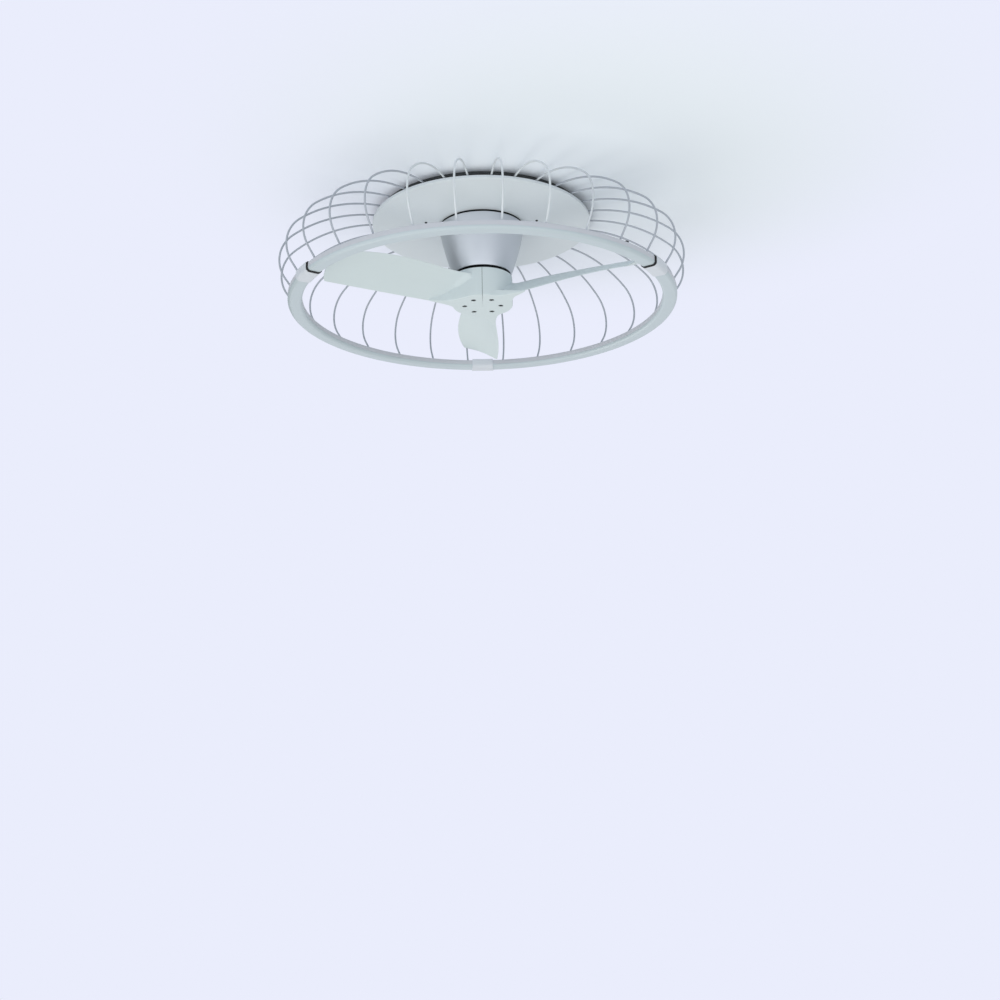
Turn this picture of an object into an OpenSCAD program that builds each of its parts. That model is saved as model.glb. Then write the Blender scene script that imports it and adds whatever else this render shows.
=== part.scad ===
// Orbital ceiling fan: a flat canopy, a bell-shaped motor housing with three blades under it,
// and a cage of bowed wires that carries a ring light round the blades.
// Millimetres, +Z up. The origin is the centre of the ceiling face, and the fan hangs below it.
// The three blade roots lie at 90, 210 and 330 degrees, and so do the ring's joints.

/* [Canopy] */
// Outer radius of the canopy cover
canopy_r = 171; // [150:1:190]
// Distance from the ceiling to the canopy cover's upper rim
canopy_drop = 11; // [9:0.5:16]
// Height of the canopy cover's side
canopy_side = 5; // [4:0.5:8]
// Sheet thickness of the canopy cover
cover_t = 1.2; // [0.8:0.1:2]
// Outer radius of the recessed base inside the canopy
base_r = 160; // [142:1:163]
// Sheet thickness of the recessed base
base_t = 1.5; // [1:0.1:2]
// Distance of the two cover screws from the axis
cover_screw_r = 89; // [80:1:110]
// Angle of the cover screws in front of the left-right line
cover_screw_turn = 14; // [0:1:30]

/* [Ceiling plate] */
// Radius of the plate that is screwed to the ceiling
plate_r = 76; // [70:1:90]
// Thickness of the ceiling plate
plate_t = 2; // [1.5:0.1:3]
// Diameter of the circle of the four ceiling screws
ceiling_pcd = 124; // [110:1:132]
// Diameter of the ceiling screw holes
ceiling_hole_d = 5.5; // [4:0.1:6.5]
// Radius of the cable hole
cable_hole_r = 12; // [9:0.5:14]
// Diameter of the circle of the three screws that hold the base to the plate
base_screw_pcd = 88; // [84:1:92]

/* [Cage] */
// Number of wires in the cage
wire_count = 30; // [12:6:36]
// Diameter of a cage wire
wire_d = 3; // [2:0.1:4]
// Radius of the long bend over the canopy
shoulder_bend_r = 198; // [180:1:220]
// Radius of the tight bend at the cage's widest place
bulge_bend_r = 53; // [46:0.5:56]
// Angle that a wire has turned through where it meets the ring
foot_turn = 125; // [122:1:130]
// How far the wires' feet stand outside the middle of the ring
foot_offset = 2; // [0:0.5:4]

/* [Ring light] */
// Outer radius of the ring light
ring_r = 300; // [292:1:308]
// Width of the ring light
ring_w = 22; // [18:1:26]
// Height of the ring's metal channel
channel_h = 5.5; // [5:0.5:8]
// Wall thickness of the channel's sides
channel_wall = 1.4; // [1:0.1:2]
// Thickness of the channel's top
channel_top = 2.4; // [2.2:0.1:3]
// Height of the opal diffuser below the channel
diffuser_h = 6.5; // [5.5:0.5:8]
// Radius of the diffuser's lower corners
diffuser_round = 4; // [2:0.25:5]
// Wall thickness of the diffuser
diffuser_wall = 1.2; // [1:0.1:1.6]
// Distance from the ceiling to the ring's upper face
ring_drop = 140.5; // [136:0.5:146]
// Length of a joint sleeve along the ring
sleeve_len = 38; // [28:1:44]
// How far a joint sleeve stands proud of the ring
sleeve_proud = 1.6; // [1.2:0.1:2.5]
// Length of the black seal at each end of the near arc
seal_len = 2; // [1.5:0.1:3]

/* [Motor housing] */
// Radius of the housing's upper edge
housing_top_r = 66.5; // [64:0.5:70]
// Radius of the housing's lower edge
housing_foot_r = 45.5; // [44:0.5:48]
// Distance from the ceiling to the housing's lower edge
housing_foot_drop = 97.5; // [96:0.5:98]
// How far the housing's side bulges past a straight cone
housing_bulge = 2; // [1:0.25:3]
// Wall thickness of the housing
housing_wall = 1.6; // [1.2:0.1:2]
// Gap between the canopy cover and the housing
neck_gap = 1.5; // [1:0.1:3]

/* [Motor] */
// Radius of the spindle
spindle_r = 7.5; // [7:0.25:8]
// Outer radius of the rotor cup
rotor_r = 38; // [36:0.5:40]
// Wall thickness of the rotor cup
rotor_wall = 2.4; // [2:0.1:3]
// Distance from the ceiling to the rotor cup's top
rotor_top_drop = 45; // [42:0.5:48]
// Height of the rotor cup
rotor_h = 44; // [42:0.5:46]
// Thickness of a rotor magnet
magnet_t = 3; // [2:0.25:3.5]
// Number of rotor magnets
magnet_count = 12; // [8:2:16]
// Air gap between the magnets and the stator
air_gap = 0.6; // [0.4:0.1:1]
// Number of stator teeth
tooth_count = 9; // [6:3:12]
// Height of the stator's stack of sheets
stack_h = 14; // [12:0.5:15]
// Outer radius of a bearing
bearing_r = 16; // [15:0.25:17]
// Width of a bearing
bearing_w = 9; // [8:0.5:10]
// Number of balls in a bearing
ball_count = 9; // [7:1:10]

/* [Hub and blades] */
// Outer radius of the hub that the blade roots form
hub_r = 46.5; // [44:0.5:49]
// Distance from the ceiling to the hub's upper edge
hub_top_drop = 102; // [100:0.5:104]
// Distance from the ceiling to the hub's lower face
hub_foot_drop = 148; // [145:0.5:150]
// Wall thickness of the blade roots
root_wall = 2.5; // [2:0.1:3]
// Thickness of the blade roots' floor
root_floor = 5; // [4:0.25:6]
// Radius of the rounding between the roots' wall and floor
root_round = 9; // [4:0.5:11]
// How far each blade's root flares out along its low edge
root_flare_r = 84; // [70:1:95]
// Radius of the circle of blade screws
blade_screw_r = 28; // [26:0.5:30]
// Gap between neighbouring blade roots
seam = 0.5; // [0.2:0.05:0.8]
// Radius of the blade's tip on its low edge
tip_low_r = 262; // [240:1:266]
// Radius of the blade's tip on its high edge
tip_high_r = 265; // [245:1:268]
// How far the blade's tip corners are rounded back
tip_round = 5; // [3:0.5:12]
// Thickness of the blade along its middle
blade_t = 3.4; // [2.5:0.1:5]
// Thickness of the blade at its edges
blade_edge_t = 1.4; // [1:0.1:2]
// How far the blade's section bows upwards
blade_camber = 5; // [2:0.25:7]

/* [Fits] */
// Gap between pieces that slide into each other
slide_gap = 0.1; // [0.05:0.05:0.2]
// Gap between a part that turns and a part that does not
running_gap = 0.05; // [0.02:0.01:0.09]
// Gap round a screw's shank
screw_gap = 0.2; // [0.1:0.05:0.3]

/* [Hidden] */
$fn = 96;
tiny = 0.01;
blade_angles = [90, 210, 330];
// The ring's joints stand close to the blade roots, at three slightly uneven steps
joint_angles = [91, 209.4, 331];

// Canopy levels
rim_z = -canopy_drop;
cover_z = rim_z - canopy_side;
cover_in_z = cover_z + cover_t;
base_floor_z = -plate_t - base_t;
hoop_in = base_r + slide_gap;
hoop_t = 3;
hoop_out = hoop_in + hoop_t;
wire_r = wire_d / 2;
wire_z = rim_z + wire_r + 1;
cover_screw_at = [
    [180 + cover_screw_turn, cover_screw_r],
    [360 - cover_screw_turn, cover_screw_r]
];

// Fasteners: shank radius, head radius and head height of each size
screw_m4 = [2, 3.8, 2.4];
screw_m3 = [1.5, 2.8, 1.8];

// Ring light
ring_top_z = -ring_drop;
ring_in = ring_r - ring_w;
ring_mid = ring_r - ring_w / 2;
channel_foot_z = ring_top_z - channel_h;
ring_foot_z = channel_foot_z - diffuser_h;
sleeve_half = sleeve_len / 2 / ring_mid * 180 / PI;
seal_turn = seal_len / ring_mid * 180 / PI;
seal_off = slide_gap / ring_mid * 180 / PI;
lip_in = channel_wall + slide_gap + diffuser_wall;
strip_w = 10;
strip_t = 1;

// A wire leaves the hoop level, turns through the long bend and the tight bend, and runs straight
// to the ring. The long bend's angle and the straight run are solved so that it ends on the ring.
wire_start_r = canopy_r + 0.5;
foot_sink = wire_r * abs(cos(foot_turn));
foot_z = ring_top_z - foot_sink;
bend_diff = shoulder_bend_r - bulge_bend_r;
foot_r = ring_mid + foot_offset;
reach_r = foot_r - wire_start_r - bulge_bend_r * sin(foot_turn);
reach_z = foot_z - wire_z + shoulder_bend_r - bulge_bend_r * cos(foot_turn);
half_b = reach_z * sin(foot_turn) - reach_r * cos(foot_turn);
foot_run = sqrt(half_b * half_b - reach_r * reach_r - reach_z * reach_z + bend_diff * bend_diff)
    - half_b;
shoulder_turn = atan2(reach_r - foot_run * cos(foot_turn), reach_z + foot_run * sin(foot_turn));
bend_1 = [wire_start_r, wire_z - shoulder_bend_r];
bend_2 = bend_1 + bend_diff * [sin(shoulder_turn), cos(shoulder_turn)];
hair = 0.02;
lap = 0.5;
straight_from = bend_2 + bulge_bend_r * [sin(foot_turn), cos(foot_turn)];

// Motor housing and bracket
housing_top_z = cover_z - neck_gap;
housing_foot_z = -housing_foot_drop;
housing_h = housing_top_z - housing_foot_z;
cone_drop = housing_top_r - housing_foot_r;
cone_side = sqrt(cone_drop * cone_drop + housing_h * housing_h);
bulge_r = (pow(cone_side / 2, 2) + pow(housing_bulge, 2)) / (2 * housing_bulge);
// Centre of the arc that bulges the housing's side
bulge_off = bulge_r - housing_bulge;
bulge_at = [
    (housing_top_r + housing_foot_r) / 2 - bulge_off * housing_h / cone_side,
    (housing_top_z + housing_foot_z) / 2 + bulge_off * cone_drop / cone_side
];
bracket_r = housing_top_r - 7;
bracket_t = 2;
bracket_disc_z = housing_top_z - 3;
bracket_flange_r = bracket_r + 6;
bracket_screw_r = bracket_r + 3;
top_flange_in = 26;
top_flange_r = housing_top_r - housing_wall + 0.1;
housing_screw_r = 36;
board_r = 50;
board_in = 14;
board_t = 1.6;
standoff_h = 2.4;
standoff_at = 44;
board_z = bracket_disc_z + bracket_t + standoff_h;
module_h = base_floor_z - board_z - board_t - 0.5;
// The modules and the terminal block stand round the board's hole, inside the spacers
module_from = board_in + 6;
module_turn = [0, 180, 90];
module_w = [24, 20, 22];
module_len = [standoff_at - module_from - 4, standoff_at - module_from - 4, 15];
block_w = 28;
block_len = 14;

// Motor
spindle_bore = 4;
spindle_flange_r = 22;
spindle_flange_t = 4;
spindle_screw_r = 15;
spindle_top_z = bracket_disc_z;
rotor_top_z = -rotor_top_drop;
rotor_foot_z = rotor_top_z - rotor_h;
rotor_in = rotor_r - rotor_wall;
end_plate_t = 3;
boss_r = bearing_r + 3;
stator_z = (rotor_top_z + rotor_foot_z) / 2;
stator_r = rotor_in - magnet_t - air_gap;
stator_hub_r = 14;
tooth_w = 4;
coil_t = 2.2;
race_t = 2.8;
ball_track_r = (spindle_r + bearing_r) / 2;
ball_r = (bearing_r - spindle_r) / 2 - race_t + 0.9;
upper_bearing_z = rotor_top_z - bearing_w;
lower_bearing_z = rotor_foot_z - end_plate_t;
spindle_foot_z = lower_bearing_z - 3.5;
clip_t = 1.2;
clip_z = lower_bearing_z - 1.5;

// Hub
hub_top_z = -hub_top_drop;
hub_foot_z = -hub_foot_drop;
hub_h = hub_top_z - hub_foot_z;
carrier_top_z = rotor_foot_z - end_plate_t;
carrier_flange_t = 4;
carrier_flange_r = 30;
carrier_neck_r = 20;
carrier_bore_r = 12;
carrier_foot_z = hub_foot_z + root_floor;
carrier_foot_t = 5;
carrier_foot_r = hub_r - root_round - 1.5;
carrier_screw_r = 25;
head_sink = 3.2;
head_room = 0.8;

// Blade outline at the root, one third, two thirds and the tip: sideways place and height of the
// high edge and of the low edge
high_side = [31, 34, 43.8, 36];
high_z = [-116.5, -111.3, -113.5, -122.5];
low_side = [-18, -21, -23.5, -20.5];
low_z = [-147, -146.6, -145.7, -147];
wing_rows = 14;
wing_cols = 8;

// ---------- shared shapes ----------

module tube(r_out, r_in, z_low, z_high) {
    difference() {
        translate([0, 0, z_low]) cylinder(r = r_out, h = z_high - z_low);
        translate([0, 0, z_low - 1]) cylinder(r = r_in, h = z_high - z_low + 2);
    }
}

// Copies its children to count places round the axis
module spread(count, radius, first = 0) {
    for (i = [0 : count - 1]) rotate(first + i * 360 / count) translate([radius, 0, 0]) children();
}

// Screw with its head below and its shank pointing up from z = 0
module screw(size, shank_h) {
    translate([0, 0, -size[2]]) difference() {
        cylinder(r = size[1], h = size[2]);
        translate([0, 0, -tiny]) cylinder(r = size[0] * 0.62, h = size[2] * 0.55, $fn = 6);
    }
    cylinder(r = size[0], h = shank_h);
}

module hole(radius, z_low, z_high) {
    translate([0, 0, z_low]) cylinder(r = radius, h = z_high - z_low);
}

// ---------- ceiling plate and canopy ----------

module ceiling_plate() {
    color("silver") difference() {
        tube(plate_r, cable_hole_r, -plate_t, 0);
        spread(4, ceiling_pcd / 2, 45) hole(ceiling_hole_d / 2, -plate_t - 1, 1);
        spread(3, base_screw_pcd / 2, 30) hole(screw_m4[0], -plate_t - 1, 1);
    }
}

module base_screws() {
    color("gray") spread(3, base_screw_pcd / 2, 30)
        translate([0, 0, base_floor_z]) screw(screw_m4, base_t + plate_t - 0.3);
}

module canopy_base() {
    color("#26282b") difference() {
        union() {
            tube(base_r, base_r - base_t, cover_in_z, 0);
            tube(base_r - tiny, cable_hole_r + 1.5, base_floor_z, -plate_t);
            for (at = cover_screw_at) rotate(at[0]) translate([at[1], 0, cover_in_z])
                cylinder(r = screw_m3[0] + 2.5, h = base_floor_z - cover_in_z + tiny);
        }
        spread(3, base_screw_pcd / 2, 30) hole(screw_m4[0] + screw_gap, base_floor_z - 1, 0);
        spread(3, bracket_screw_r, 90) hole(screw_m3[0], base_floor_z - 1, 0);
        for (at = cover_screw_at) rotate(at[0]) translate([at[1], 0, 0])
            hole(screw_m3[0], cover_in_z - 1, base_floor_z - 0.5);
    }
}

// Rubber bush in the base's cable hole, with a groove that holds the sheet
module cable_grommet() {
    color("#1b1b1c") difference() {
        union() {
            tube(cable_hole_r + 1.5, cable_hole_r - 5, base_floor_z - 1.5, -plate_t);
            tube(cable_hole_r + 3.5, cable_hole_r - 5, base_floor_z - 1.5, base_floor_z);
            tube(cable_hole_r - slide_gap, cable_hole_r - 5, -plate_t, -0.3);
        }
    }
}

module canopy_cover() {
    color("#dfe3ea") difference() {
        union() {
            tube(canopy_r, bracket_r + 0.5, cover_z, cover_in_z);
            tube(canopy_r, canopy_r - cover_t, cover_z, rim_z);
        }
        for (at = cover_screw_at) rotate(at[0]) translate([at[1], 0, 0])
            hole(screw_m3[0] + screw_gap, cover_z - 1, rim_z);
        // Rounds the lower edge
        rotate_extrude() translate([canopy_r - cover_t, cover_z + cover_t]) difference() {
            translate([0, -cover_t - 1]) square([cover_t + 1, cover_t + 1]);
            circle(r = cover_t);
        }
    }
}

module cover_screws() {
    color("#b9bdc4") for (at = cover_screw_at) rotate(at[0]) translate([at[1], 0, cover_z])
        screw(screw_m3, cover_t + base_floor_z - cover_in_z - 1);
}

// ---------- cage ----------

// Flat band that the inner ends of the wires are welded to
module cage_hoop() {
    color("#33363b") tube(hoop_out, hoop_in, rim_z, wire_z + wire_r + 1.5);
}

// One wire in the plane of +X and Z. Each piece is a hair thinner than the one that it runs into,
// so that no two of their skins lie on each other.
module wire(r) {
    translate([hoop_out, 0, wire_z]) rotate([0, 90, 0])
        cylinder(r = r - hair, h = wire_start_r - hoop_out + lap, $fn = 24);
    translate([bend_1[0], 0, bend_1[1]]) rotate([90, 0, 0])
        rotate_extrude(start = 90 - shoulder_turn, angle = shoulder_turn)
            translate([shoulder_bend_r, 0]) circle(r = r, $fn = 24);
    translate([bend_2[0], 0, bend_2[1]]) rotate([90, 0, 0])
        rotate_extrude(start = 90 - foot_turn, angle = foot_turn - shoulder_turn + lap)
            translate([bulge_bend_r, 0]) circle(r = r - hair, $fn = 24);
    wire_foot(r - 2 * hair, lap);
}

module wire_foot(r, lead = 0) {
    translate([straight_from[0], 0, straight_from[1]]) rotate([0, 90 + foot_turn, 0])
        translate([0, 0, -lead]) cylinder(r = r, h = foot_run + lead, $fn = 24);
}

// Sixth part of the cage
module cage_wires(part) {
    share = wire_count / 6;
    color("#c9cdd6") for (i = [0 : share - 1])
        rotate((part * share + i) * 360 / wire_count) wire(wire_r);
}

module cage_wires_1() { cage_wires(0); }
module cage_wires_2() { cage_wires(1); }
module cage_wires_3() { cage_wires(2); }
module cage_wires_4() { cage_wires(3); }
module cage_wires_5() { cage_wires(4); }
module cage_wires_6() { cage_wires(5); }

// ---------- ring light ----------

// Turns a section of the ring, drawn with x as radius, through one arc from joint to joint
module ring_arc(part, gap) {
    gap_turn = gap / ring_mid * 180 / PI;
    rotate_extrude(start = joint_angles[part] + gap_turn / 2, angle = arc_turn(part) - gap_turn)
        children();
}

// Angle from one joint to the next
function arc_turn(part) = (joint_angles[(part + 1) % 3] - joint_angles[part] + 360) % 360;

// Lower half of the ring's section, grown by g: a flat foot with round corners
module ring_foot(g) {
    corner = diffuser_round + g;
    difference() {
        translate([ring_in - g, ring_foot_z - g]) square([ring_w + 2 * g, diffuser_h + g]);
        translate([ring_in - g, ring_foot_z - g]) difference() {
            translate([-1, -1]) square([corner + 1, corner + 1]);
            translate([corner, corner]) circle(r = corner);
        }
        translate([ring_r + g, ring_foot_z - g]) difference() {
            translate([-corner, -1]) square([corner + 1, corner + 1]);
            translate([-corner, corner]) circle(r = corner);
        }
    }
}

// Outline of the ring's section, grown by g on every side
module ring_outline(g) {
    ring_foot(g);
    translate([ring_in - g, channel_foot_z - tiny]) square([ring_w + 2 * g, channel_h + g + tiny]);
}

module ring_channel(part) {
    color("#d5d8e2") difference() {
        ring_arc(part, 0.6) difference() {
            translate([ring_in, channel_foot_z]) square([ring_w, channel_h]);
            translate([ring_in + channel_wall, channel_foot_z - 1])
                square([ring_w - 2 * channel_wall, channel_h - channel_top + 1]);
        }
        // Sockets for the feet of the wires
        for (i = [0 : wire_count - 1]) if (is_in_arc(i * 360 / wire_count, part))
            rotate(i * 360 / wire_count) wire_foot(wire_r + slide_gap / 2);
        if (is_in_arc(ring_grommet_angle, part)) rotate(ring_grommet_angle)
            translate([ring_grommet_at, 0, 0]) hole(1.6, ring_top_z - channel_top - 1, ring_top_z + 1);
    }
}

function is_in_arc(angle, part) =
    let (turned = (angle - joint_angles[part] + 720) % 360) turned > 0 && turned < arc_turn(part);

module ring_diffuser(part) {
    color("#dde6e8") ring_arc(part, 0.6) difference() {
        union() {
            ring_foot(0);
            // Lips that clip inside the channel
            for (side = [0, 1])
                translate([ring_in + channel_wall + slide_gap
                    + side * (ring_w - 2 * channel_wall - 2 * slide_gap - diffuser_wall),
                    channel_foot_z - tiny]) square([diffuser_wall, 2.5]);
        }
        // Hollow, with the same round corners
        translate([ring_in + lip_in, ring_foot_z + diffuser_wall]) square([ring_w - 2 * lip_in, 20]);
    }
}

// Aluminium strip with the light diodes, glued under the channel's top
module led_strip(part) {
    color("#f2f2ee") ring_arc(part, sleeve_len)
        translate([ring_mid - strip_w / 2, ring_top_z - channel_top - strip_t])
            square([strip_w, strip_t]);
}

// Sleeve that covers the joint of two arcs
module joint_sleeve(part) {
    color("#d9dbe6") rotate_extrude(start = joint_angles[part] - sleeve_half, angle = 2 * sleeve_half)
        difference() {
            ring_outline(sleeve_proud);
            ring_outline(slide_gap / 2);
        }
}

module ring_channel_1() { ring_channel(0); }
module ring_channel_2() { ring_channel(1); }
module ring_channel_3() { ring_channel(2); }
module ring_diffuser_1() { ring_diffuser(0); }
module ring_diffuser_2() { ring_diffuser(1); }
module ring_diffuser_3() { ring_diffuser(2); }
module led_strip_1() { led_strip(0); }
module led_strip_2() { led_strip(1); }
module led_strip_3() { led_strip(2); }
module joint_sleeve_1() { joint_sleeve(0); }
module joint_sleeve_2() { joint_sleeve(1); }
module joint_sleeve_3() { joint_sleeve(2); }

// Black seals where the near arc enters its two sleeves
module ring_seals() {
    near_from = joint_angles[1] + sleeve_half + seal_off;
    near_to = joint_angles[2] - sleeve_half - seal_off - seal_turn;
    color("#141416") for (start = [near_from, near_to])
        rotate_extrude(start = start, angle = seal_turn) difference() {
            ring_outline(sleeve_proud - 0.6);
            ring_outline(slide_gap / 2);
        }
}

// Small black bush where the lead enters the ring
ring_grommet_angle = 314;
ring_grommet_at = ring_r - 3.5;
module ring_grommet() {
    color("#141416") rotate(ring_grommet_angle) translate([ring_grommet_at, 0, ring_top_z]) {
        cylinder(r = 2.8, h = 2.6);
        translate([0, 0, -channel_top]) cylinder(r = 1.6 - slide_gap / 2, h = channel_top);
    }
}

// ---------- bracket, housing and electronics ----------

// Steel cup that hangs from the base and carries the motor and the housing
module motor_bracket() {
    color("#2b2d31") difference() {
        union() {
            tube(bracket_r, bracket_r - bracket_t, bracket_disc_z, base_floor_z);
            tube(bracket_flange_r, bracket_r - bracket_t, base_floor_z - bracket_t, base_floor_z);
            tube(bracket_r - tiny, spindle_bore + 2, bracket_disc_z, bracket_disc_z + bracket_t);
        }
        spread(3, bracket_screw_r, 90) hole(screw_m3[0] + screw_gap, base_floor_z - 9, 0);
        spread(3, housing_screw_r, 30) hole(screw_m3[0], bracket_disc_z - 1, bracket_disc_z + 3);
        spread(3, spindle_screw_r, 90) hole(screw_m3[0], bracket_disc_z - 1, bracket_disc_z + 3);
        spread(4, standoff_at, 0) hole(screw_m3[0], bracket_disc_z - 1, bracket_disc_z + 3);
    }
}

module bracket_screws() {
    color("gray") spread(3, bracket_screw_r, 90)
        translate([0, 0, base_floor_z - bracket_t]) screw(screw_m3, bracket_t + base_t - 0.3);
}

// Section of the housing's side, with its inner face offset by the wall
module housing_side(inset) {
    intersection() {
        translate([0, housing_foot_z]) square([housing_top_r, housing_h]);
        translate(bulge_at) circle(r = bulge_r - inset, $fn = 720);
    }
}

module motor_housing() {
    color("#a9adb6") difference() {
        union() {
            rotate_extrude() difference() {
                housing_side(0);
                intersection() {
                    translate([0, housing_foot_z - 1]) square([housing_top_r + 1, housing_h + 2]);
                    translate(bulge_at) circle(r = bulge_r - housing_wall, $fn = 720);
                }
            }
            tube(top_flange_r, top_flange_in, bracket_disc_z - housing_wall, bracket_disc_z);
        }
        spread(3, housing_screw_r, 30) hole(screw_m3[0] + screw_gap, bracket_disc_z - 4, bracket_disc_z + 1);
    }
}

module housing_screws() {
    color("gray") spread(3, housing_screw_r, 30)
        translate([0, 0, bracket_disc_z - housing_wall]) screw(screw_m3, housing_wall + bracket_t - 0.3);
}

module control_board() {
    color("#1f6b3f") difference() {
        tube(board_r, board_in, board_z, board_z + board_t);
        spread(4, standoff_at, 0) hole(screw_m3[0], board_z - 1, board_z + board_t + 1);
    }
}

// Spacers under the board, each with its threaded stem
module board_standoffs() {
    color("#c8a64b") spread(4, standoff_at, 0) {
        hole(screw_m3[0] - slide_gap / 2, bracket_disc_z + 0.3, board_z + board_t + 0.8);
        hole(screw_m3[0] + 1.4, bracket_disc_z + bracket_t, board_z);
    }
}

// Motor drive, light driver and remote receiver as cased modules on the board
module board_modules() {
    color("#22252b") for (i = [0 : 2]) rotate(module_turn[i])
        translate([module_from, -module_w[i] / 2, board_z + board_t])
            cube([module_len[i], module_w[i], module_h]);
}

module terminal_block() {
    color("#e8e6df") rotate(-90) translate([module_from, -block_w / 2, board_z + board_t]) difference() {
        cube([block_len, block_w, module_h]);
        for (i = [-1 : 1]) translate([-1, block_w / 2 + i * block_w / 3, module_h / 2])
            rotate([0, 90, 0]) cylinder(r = module_h / 4, h = block_len * 0.7, $fn = 24);
    }
}

// ---------- motor ----------

module spindle() {
    color("#8d9199") difference() {
        union() {
            hole(spindle_flange_r, spindle_top_z - spindle_flange_t, spindle_top_z);
            hole(spindle_r, spindle_foot_z, spindle_top_z);
            tube(spindle_r + 2, spindle_r - 1, upper_bearing_z + bearing_w, upper_bearing_z + bearing_w + 5);
        }
        hole(spindle_bore, spindle_foot_z - 1, spindle_top_z + 1);
        spread(3, spindle_screw_r, 90)
            hole(screw_m3[0] + screw_gap, spindle_top_z - spindle_flange_t - 1, spindle_top_z + 1);
        // Groove for the retaining clip
        tube(spindle_r + 1, spindle_r - 1, clip_z, clip_z + clip_t);
    }
}

module spindle_screws() {
    color("gray") spread(3, spindle_screw_r, 90)
        translate([0, 0, spindle_top_z - spindle_flange_t])
            screw(screw_m3, spindle_flange_t + bracket_t - 0.3);
}

// Stack of sheets with its teeth and their wide tips
module stator_core() {
    color("#6f747c") translate([0, 0, stator_z - stack_h / 2]) linear_extrude(stack_h) difference() {
        union() {
            circle(r = stator_hub_r);
            for (i = [0 : tooth_count - 1]) rotate(i * 360 / tooth_count) {
                translate([stator_hub_r - 1, -tooth_w / 2])
                    square([stator_r - stator_hub_r - 0.5, tooth_w]);
                intersection() {
                    difference() {
                        circle(r = stator_r);
                        circle(r = stator_r - 2);
                    }
                    translate([stator_r / 2, -7]) square([stator_r, 14]);
                }
            }
        }
        circle(r = spindle_r + slide_gap / 2);
    }
}

module stator_windings() {
    coil_from = stator_hub_r + 0.8;
    coil_to = stator_r - 3;
    color("#b8682f") for (i = [0 : tooth_count - 1]) rotate(i * 360 / tooth_count)
        difference() {
            translate([coil_from, -tooth_w / 2 - coil_t, stator_z - stack_h / 2 - coil_t])
                cube([coil_to - coil_from, tooth_w + 2 * coil_t, stack_h + 2 * coil_t]);
            translate([coil_from - 1, -tooth_w / 2 - slide_gap / 2, stator_z - stack_h / 2 - slide_gap / 2])
                cube([coil_to - coil_from + 2, tooth_w + slide_gap, stack_h + slide_gap]);
            // Narrows the coil towards the axis, where its neighbours are close
            for (side = [-1, 1]) rotate(side * 180 / tooth_count)
                translate([0, side > 0 ? -0.2 : -30 + 0.2, stator_z - 20]) cube([40, 30, 40]);
        }
}

module bearing_inner_races() {
    color("silver") for (z = [upper_bearing_z, lower_bearing_z]) race(spindle_r, spindle_r + race_t, z);
}

module bearing_outer_races() {
    color("silver") for (z = [upper_bearing_z, lower_bearing_z]) race(bearing_r - race_t, bearing_r, z);
}

// Ring with a groove for the balls
module race(r_in, r_out, z) {
    difference() {
        tube(r_out, r_in, z, z + bearing_w);
        translate([0, 0, z + bearing_w / 2]) rotate_extrude()
            translate([ball_track_r, 0]) circle(r = ball_r + running_gap, $fn = 48);
    }
}

module bearing_balls() {
    color("white") for (z = [upper_bearing_z, lower_bearing_z])
        spread(ball_count, ball_track_r) translate([0, 0, z + bearing_w / 2]) sphere(r = ball_r, $fn = 32);
}

module spindle_clip() {
    color("#3a3c40") difference() {
        tube(spindle_r + 2.5, spindle_r - 1, clip_z, clip_z + clip_t);
        translate([0, -2.5, clip_z - 1]) cube([20, 5, clip_t + 2]);
    }
}

module rotor_cup() {
    color("#b4b8be") difference() {
        union() {
            tube(rotor_r, rotor_in, rotor_foot_z, rotor_top_z);
            tube(rotor_r - tiny, bearing_r - 2, rotor_top_z, rotor_top_z + rotor_wall);
            tube(boss_r, bearing_r - 2, rotor_top_z - bearing_w, rotor_top_z + rotor_wall);
        }
        hole(bearing_r, upper_bearing_z - 1, upper_bearing_z + bearing_w);
        spread(6, (rotor_in + rotor_r) / 2, 30) hole(0.8, rotor_foot_z - 1, rotor_foot_z + 6);
    }
}

module rotor_magnets() {
    part_turn = 360 / magnet_count;
    color("#4c4f55") for (i = [0 : magnet_count - 1])
        translate([0, 0, stator_z - stack_h / 2 - 2])
            rotate_extrude(start = i * part_turn + 1, angle = part_turn - 2)
                translate([rotor_in - magnet_t, 0]) square([magnet_t, stack_h + 4]);
}

module rotor_end_plate() {
    color("#a5a9af") difference() {
        union() {
            tube(rotor_r, bearing_r - 0.5, rotor_foot_z - end_plate_t, rotor_foot_z);
            tube(boss_r, bearing_r - 0.5, rotor_foot_z - end_plate_t, lower_bearing_z + bearing_w);
        }
        hole(bearing_r, lower_bearing_z - 1, lower_bearing_z + bearing_w + 1);
        spread(6, (rotor_in + rotor_r) / 2, 30) hole(0.8 + screw_gap, rotor_foot_z - 9, rotor_foot_z + 1);
        spread(3, carrier_screw_r, 0) hole(screw_m4[0], rotor_foot_z - 9, rotor_foot_z + 1);
    }
}

module end_plate_screws() {
    color("gray") spread(6, (rotor_in + rotor_r) / 2, 30)
        translate([0, 0, rotor_foot_z - end_plate_t]) screw([0.8, 1.4, 1], end_plate_t + 5);
}

// Spool between the rotor and the blade roots
module hub_carrier() {
    color("#9ea2a9") difference() {
        union() {
            tube(carrier_flange_r, carrier_bore_r, carrier_top_z - carrier_flange_t, carrier_top_z);
            tube(carrier_neck_r, carrier_bore_r, carrier_foot_z, carrier_top_z);
            tube(carrier_foot_r, carrier_bore_r, carrier_foot_z, carrier_foot_z + carrier_foot_t);
        }
        spread(3, carrier_screw_r, 0) hole(screw_m4[0] + screw_gap, carrier_top_z - 9, carrier_top_z + 1);
        spread(6, blade_screw_r, 0) hole(screw_m3[0], carrier_foot_z - 1, carrier_foot_z + 9);
    }
}

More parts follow.
